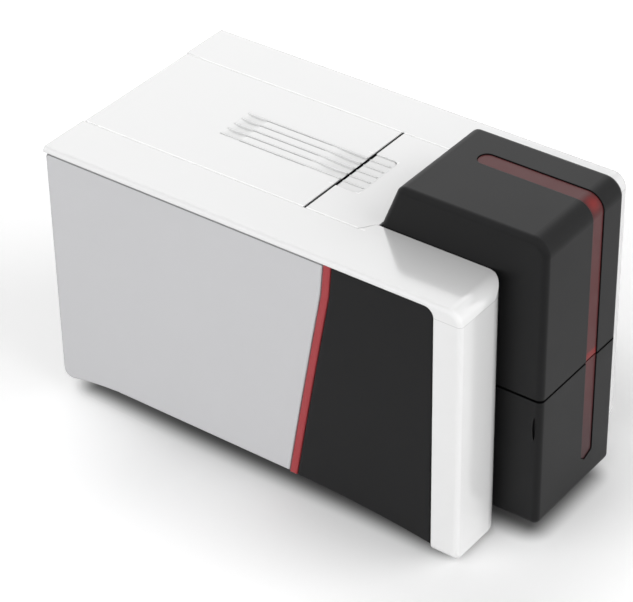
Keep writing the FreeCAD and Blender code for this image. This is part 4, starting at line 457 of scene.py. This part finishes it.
def roundTop(low, high, foot, crown, steps):
    # a profile with a half-round top between two sides, for the dark strips of painted shade in the slot and
    # beside the ribs
    middle, reach = (low + high) / 2, (high - low) / 2
    points = [(low, foot)]
    for index in range(steps + 1):
        turn = math.pi * (1 - index / steps)
        points.append((middle + reach * math.cos(turn), crown - reach + reach * math.sin(turn)))
    points.append((high, foot))
    return points


# a black foam strip in the gap in front of the cover, a little below the top: painted shade in the slot
slotShade = {"clear": 0.12, "sunk": 0.25, "depth": 5.0, "end": 0.4, "steps": 8}
profile = roundTop(deckHigh.y + slotShade["clear"], coverLow.y - slotShade["clear"], topMm - slotShade["depth"],
                   topMm - slotShade["sunk"], slotShade["steps"])
mesh = strip("slotShadeStrip", profile, "x", coverLow.x - slotShade["end"], coverHigh.x + slotShade["end"])
addPiece("slotShadeStrip", mesh, "slotShadeFoam", "casing")

# White lips that close the side gaps of the cover and of the deck, in a brighter white that paints the
# highlight lines
# along the gaps: a leg in the gap under a thin flat cap, which reaches capInner over the cover or deck and
# capOuter past the leg. The lips run from front to rear, end short of the pieces they follow, and swing is
# the stretch of the cover that dips as it opens.
lips = {"clear": 0.02, "leg": 0.42, "deckLeg": 0.24, "depth": 6.0, "capInner": 0.6, "capOuter": 0.65,
        "capLow": 0.01, "capHigh": 0.16, "rear": 3.0, "swing": 13.4, "front": 49.5, "end": 0.2}


def lipProfile(side, edge, leg, reach):
    foot, seat = topMm - lips["depth"], topMm + lips["capLow"]
    crown, inner, outer = topMm + lips["capHigh"], edge - lips["capInner"], edge + leg + reach
    slope = lips["capHigh"] - lips["capLow"]
    points = [(edge + lips["clear"], foot), (edge + lips["clear"], seat), (inner, seat),
              (inner + slope, crown), (outer - slope, crown), (outer, seat), (edge + leg, seat),
              (edge + leg, foot)]
    return [(side * across, high) for across, high in points]


for side, word in ((-1, "Left"), (1, "Right")):
    swingFrom = coverHigh.y - lips["swing"]
    mesh = strip("coverLip", lipProfile(side, coverHigh.x, lips["leg"], lips["capOuter"]), "y",
                 coverLow.y + lips["end"], swingFrom)
    addPiece("coverLip" + word, mesh, "lipWhiteHighlight", "lid")
    # at the hinge the lip has no outer cap, so that it stays clear of the shell
    mesh = strip("coverLipRear", lipProfile(side, coverHigh.x, lips["leg"], 0.0), "y",
                 swingFrom, coverHigh.y - lips["rear"])
    addPiece("coverLipRear" + word, mesh, "lipWhiteHighlight", "lid")
    mesh = strip("deckLip", lipProfile(side, deckHigh.x, lips["deckLeg"], lips["capOuter"]), "y",
                 -lips["front"], deckHigh.y - lips["end"])
    addPiece("deckLip" + word, mesh, "lipWhiteHighlight", "casing")

# fine grey beads at the left foot of each rib of the cover, between its two scoops: painted shade beside each
# rib
beads = {"pitch": 8.05, "count": 5, "ribHalf": 0.6, "wide": 0.34, "sunk": 0.05, "high": 0.12,
         "front": 26.0, "rear": 83.0, "steps": 4}
for index in range(beads["count"]):
    foot = beads["pitch"] * (index - (beads["count"] - 1) / 2) - beads["ribHalf"]
    profile = roundTop(foot - beads["wide"], foot, topMm - beads["sunk"], topMm + beads["high"],
                       beads["steps"])
    addPiece("ribBead%d" % index, strip("ribBead", profile, "y", beads["front"], beads["rear"]),
             "ribShadeGrey", "lid")

# A domed head with a six-lobed recess. Each ring is a radius, a height and the depth of its lobes, the
# first two as shares of the head's radius; dome flattens the heights.
screwHead = {"radius": 2.6, "dome": 0.6, "steps": 24, "lobes": 6,
             "rings": [(1.0, 0.0, 0), (1.0, 0.25, 0), (0.86, 0.5, 0), (0.62, 0.62, 0), (0.5, 0.64, 0.1),
                       (0.46, 0.6, 0.12), (0.42, 0.15, 0.12), (0.02, 0.1, 0)]}


def screw(name, spot):
    # a head that faces backwards, on the rear panel
    size, steps = screwHead["radius"], screwHead["steps"]
    shape = bmesh.new()
    loops = []
    for radius, height, wave in screwHead["rings"]:
        loop = []
        for step in range(steps):
            turn = math.tau * step / steps
            reach = size * radius * (1 - wave + wave * math.cos(screwHead["lobes"] * turn))
            rise = size * height * screwHead["dome"]
            local = Vector((reach * math.cos(turn), rise, reach * math.sin(turn)))
            loop.append(shape.verts.new((Vector(spot) + local) * mm))
        loops.append(loop)
    for inner, outer in zip(loops[1:], loops[:-1]):
        for step in range(steps):
            after = (step + 1) % steps
            shape.faces.new((outer[step], outer[after], inner[after], inner[step]))
    shape.faces.new(loops[0])
    shape.faces.new(loops[-1])
    mesh = finishMesh(name, shape)
    for face in mesh.polygons:
        face.use_smooth = True
    addPiece(name, mesh, "stainlessHeaded", "casing")


# screws that hold the rear panel to the pan and the casing: how far out and how high on it, as shares
screwSpots = [(-1, 0.04), (1, 0.04), (-1, 0.8), (1, 0.8), (-0.45, 0.04), (0.45, 0.04), (-0.5, 0.93),
              (0.5, 0.93)]
screwInset = 5.0
for index, (out, up) in enumerate(screwSpots):
    spot = (out * (rearHigh.x - screwInset), rearHigh.y, rearLow.z + up * (rearHigh.z - rearLow.z))
    screw("rearScrew%d" % index, spot)
print("seals, lips, beads and screws: done")

# The camera: a long lens from the front left, well above the object. Its place is in mm and degrees,
# its clip range in metres.
lens = {"focalPx": 2657.66, "widthPx": 633, "sensorMm": 36, "azimuth": -52.96, "elevation": 35.19,
        "roll": -1.08, "target": (-0.32, 30.22, 86.26), "distance": 1919.76, "clip": (0.05, 50)}


def makeCamera():
    data = bpy.data.cameras.new("photoCamera")
    data.sensor_width = lens["sensorMm"]
    data.lens = lens["focalPx"] / lens["widthPx"] * lens["sensorMm"]
    data.clip_start, data.clip_end = lens["clip"]
    camera = bpy.data.objects.new("photoCamera", data)
    bpy.context.scene.collection.objects.link(camera)
    azimuth, elevation, roll = (math.radians(lens[key]) for key in ("azimuth", "elevation", "roll"))
    back = Vector((math.sin(azimuth) * math.cos(elevation), -math.cos(azimuth) * math.cos(elevation),
                   math.sin(elevation)))
    right = (-back).cross(Vector((0, 0, 1))).normalized()
    up = right.cross(-back)
    tilted = right * math.cos(roll) + up * math.sin(roll)
    upright = up * math.cos(roll) - right * math.sin(roll)
    turn = Matrix((tilted, upright, back)).transposed().to_4x4()
    spot = (Vector(lens["target"]) + back * lens["distance"]) * mm
    camera.matrix_world = Matrix.Translation(spot) @ turn
    bpy.context.scene.camera = camera


# Soft studio light: a dim even room, wide lamps low on the left and in front, a weak one behind.
# A lamp is its direction, its spread in degrees, its strength and whether glossy surfaces mirror it.
# The floor is seamless paper, floorHalf metres to each side. It is darkest under the casing and the
# hoppers, and clears over the last underMm of their outlines, which are grown by shadeOver mm. Its lift
# for the camera grows over floorReach metres.
studio = {"room": 0.22, "shown": 1.0,
          "lamps": [((-0.85, 0.0, 0.53), 80, 2.05, False), ((0.25, -0.9, 0.35), 70, 2.15, False),
                    ((0.65, 0.49, 0.58), 50, 0.35, True)],
          "floorHalf": 12, "floorHex": "f2f2f2", "toothMm": 1.5, "toothTone": 0.99,
          "underMm": 23, "underTone": 0.15, "shadeOver": {"left_shell": 3, "hopper_shell": 9},
          "floorLift": (0.09, 0.33), "floorReach": 0.13, "liftShort": (18, 130, 0)}


def makeWorld():
    world = bpy.data.worlds.new("paleRoom")
    world.use_nodes = True
    tree = world.node_tree
    tree.nodes.clear()
    path = add(tree, "LightPath")
    seen = joined(tree, "MAXIMUM", (path, "Is Glossy Ray"), (path, "Is Transmission Ray"),
                  (path, "Is Camera Ray"))
    level = add(tree, "MapRange", {"To Min": studio["room"], "To Max": studio["shown"]}, {"Value": seen})
    sky = add(tree, "Background", {"Color": (1, 1, 1, 1)}, {"Strength": (level, "Result")})
    add(tree, "OutputWorld", links={"Surface": (sky, 0)})
    bpy.context.scene.world = world


def makeLamps():
    for index, (spot, spread, power, mirrored) in enumerate(studio["lamps"]):
        data = bpy.data.lights.new("softLamp%d" % index, "SUN")
        data.angle, data.energy = math.radians(spread), power
        lamp = bpy.data.objects.new(data.name, data)
        lamp.location = spot
        lamp.visible_glossy = mirrored
        lamp.rotation_euler = (-Vector(spot)).to_track_quat("-Z", "Y").to_euler()
        bpy.context.scene.collection.objects.link(lamp)


def outsideOf(tree, place, middle, half):
    # how far a spot of the floor lies outside a rectangle, round at the corners
    shifted = add(tree, "VectorMath", {1: middle}, {0: (place, "Object")}, operation="SUBTRACT")
    aside = add(tree, "VectorMath", links={0: (shifted, "Vector")}, operation="ABSOLUTE")
    beyond = add(tree, "VectorMath", {1: half}, {0: (aside, "Vector")}, operation="SUBTRACT")
    outside = add(tree, "VectorMath", {1: (0, 0, 0)}, {0: (beyond, "Vector")}, operation="MAXIMUM")
    return (add(tree, "VectorMath", links={0: (outside, "Vector")}, operation="LENGTH"), "Value")


def floorShade(tree, place):
    # the paper under the casing and under the hoppers lies in deep shade
    depths = []
    for name, over in studio["shadeOver"].items():
        low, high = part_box(name)
        grown = (over - studio["underMm"]) * mm
        half = Vector((max(-low.x, high.x) + grown, (high.y - low.y) / 2 + grown, 0))
        depths.append(outsideOf(tree, place, Vector((0, (low.y + high.y) / 2, 0)), half))
    limits = {"From Max": studio["underMm"] * mm, "To Min": studio["underTone"], "To Max": 1.0}
    shaded = add(tree, "MapRange", limits, {"Value": joined(tree, "MINIMUM", *depths)},
                 interpolation_type="SMOOTHSTEP")
    return (shaded, "Result")


def floorLift(tree, place):
    # only the camera sees this lift; being weaker near the object, it paints a soft shadow round it. It sets
    # in nearer behind the object and to its right
    low, high = Vector(cadBox[0]), Vector(cadBox[1])
    low.z = high.z = 0
    high -= Vector(studio["liftShort"]) * mm
    near, far = studio["floorLift"]
    away = add(tree, "MapRange", {"From Max": studio["floorReach"], "To Min": near, "To Max": far},
               {"Value": outsideOf(tree, place, (low + high) / 2, (high - low) / 2)},
               interpolation_type="SMOOTHSTEP")
    path = add(tree, "LightPath")
    return joined(tree, "MULTIPLY", (path, "Is Camera Ray"), (away, "Result"))


def makeFloor():
    half = studio["floorHalf"]
    mesh = bpy.data.meshes.new("floor")
    mesh.from_pydata([(-half, -half, 0), (half, -half, 0), (half, half, 0), (-half, half, 0)], [],
                     [(0, 1, 2, 3)])
    floor = bpy.data.objects.new("floor", mesh)
    bpy.context.scene.collection.objects.link(floor)
    material, tree = newMaterial("paperMatt")
    place = add(tree, "TexCoord")
    tooth = add(tree, "TexNoise", {"Scale": 1 / (studio["toothMm"] * mm), "Detail": 3.0},
                {"Vector": (place, "Object")})
    shade = add(tree, "MapRange", {"To Min": studio["toothTone"], "To Max": 1.0},
                {"Value": (tooth, "Fac")})
    colour = add(tree, "VectorMath", {0: linear(studio["floorHex"])[:3]}, {1: (shade, "Result")},
                 operation="MULTIPLY")
    shaded = floorShade(tree, place)
    colour = add(tree, "VectorMath", links={0: (colour, "Vector"), 1: shaded}, operation="MULTIPLY")
    lift = joined(tree, "MULTIPLY", floorLift(tree, place), shaded)
    shader = add(tree, "BsdfPrincipled", {"Roughness": 0.9, "Specular IOR Level": 0.1,
                                          "Emission Color": (1, 1, 1, 1)},
                 {"Base Color": (colour, "Vector"), "Emission Strength": lift})
    mesh.materials.append(finishWith(material, tree, shader))


makeCamera()
makeWorld()
makeLamps()
makeFloor()
bpy.context.scene.view_settings.view_transform = "Standard"
print("camera and studio: done")
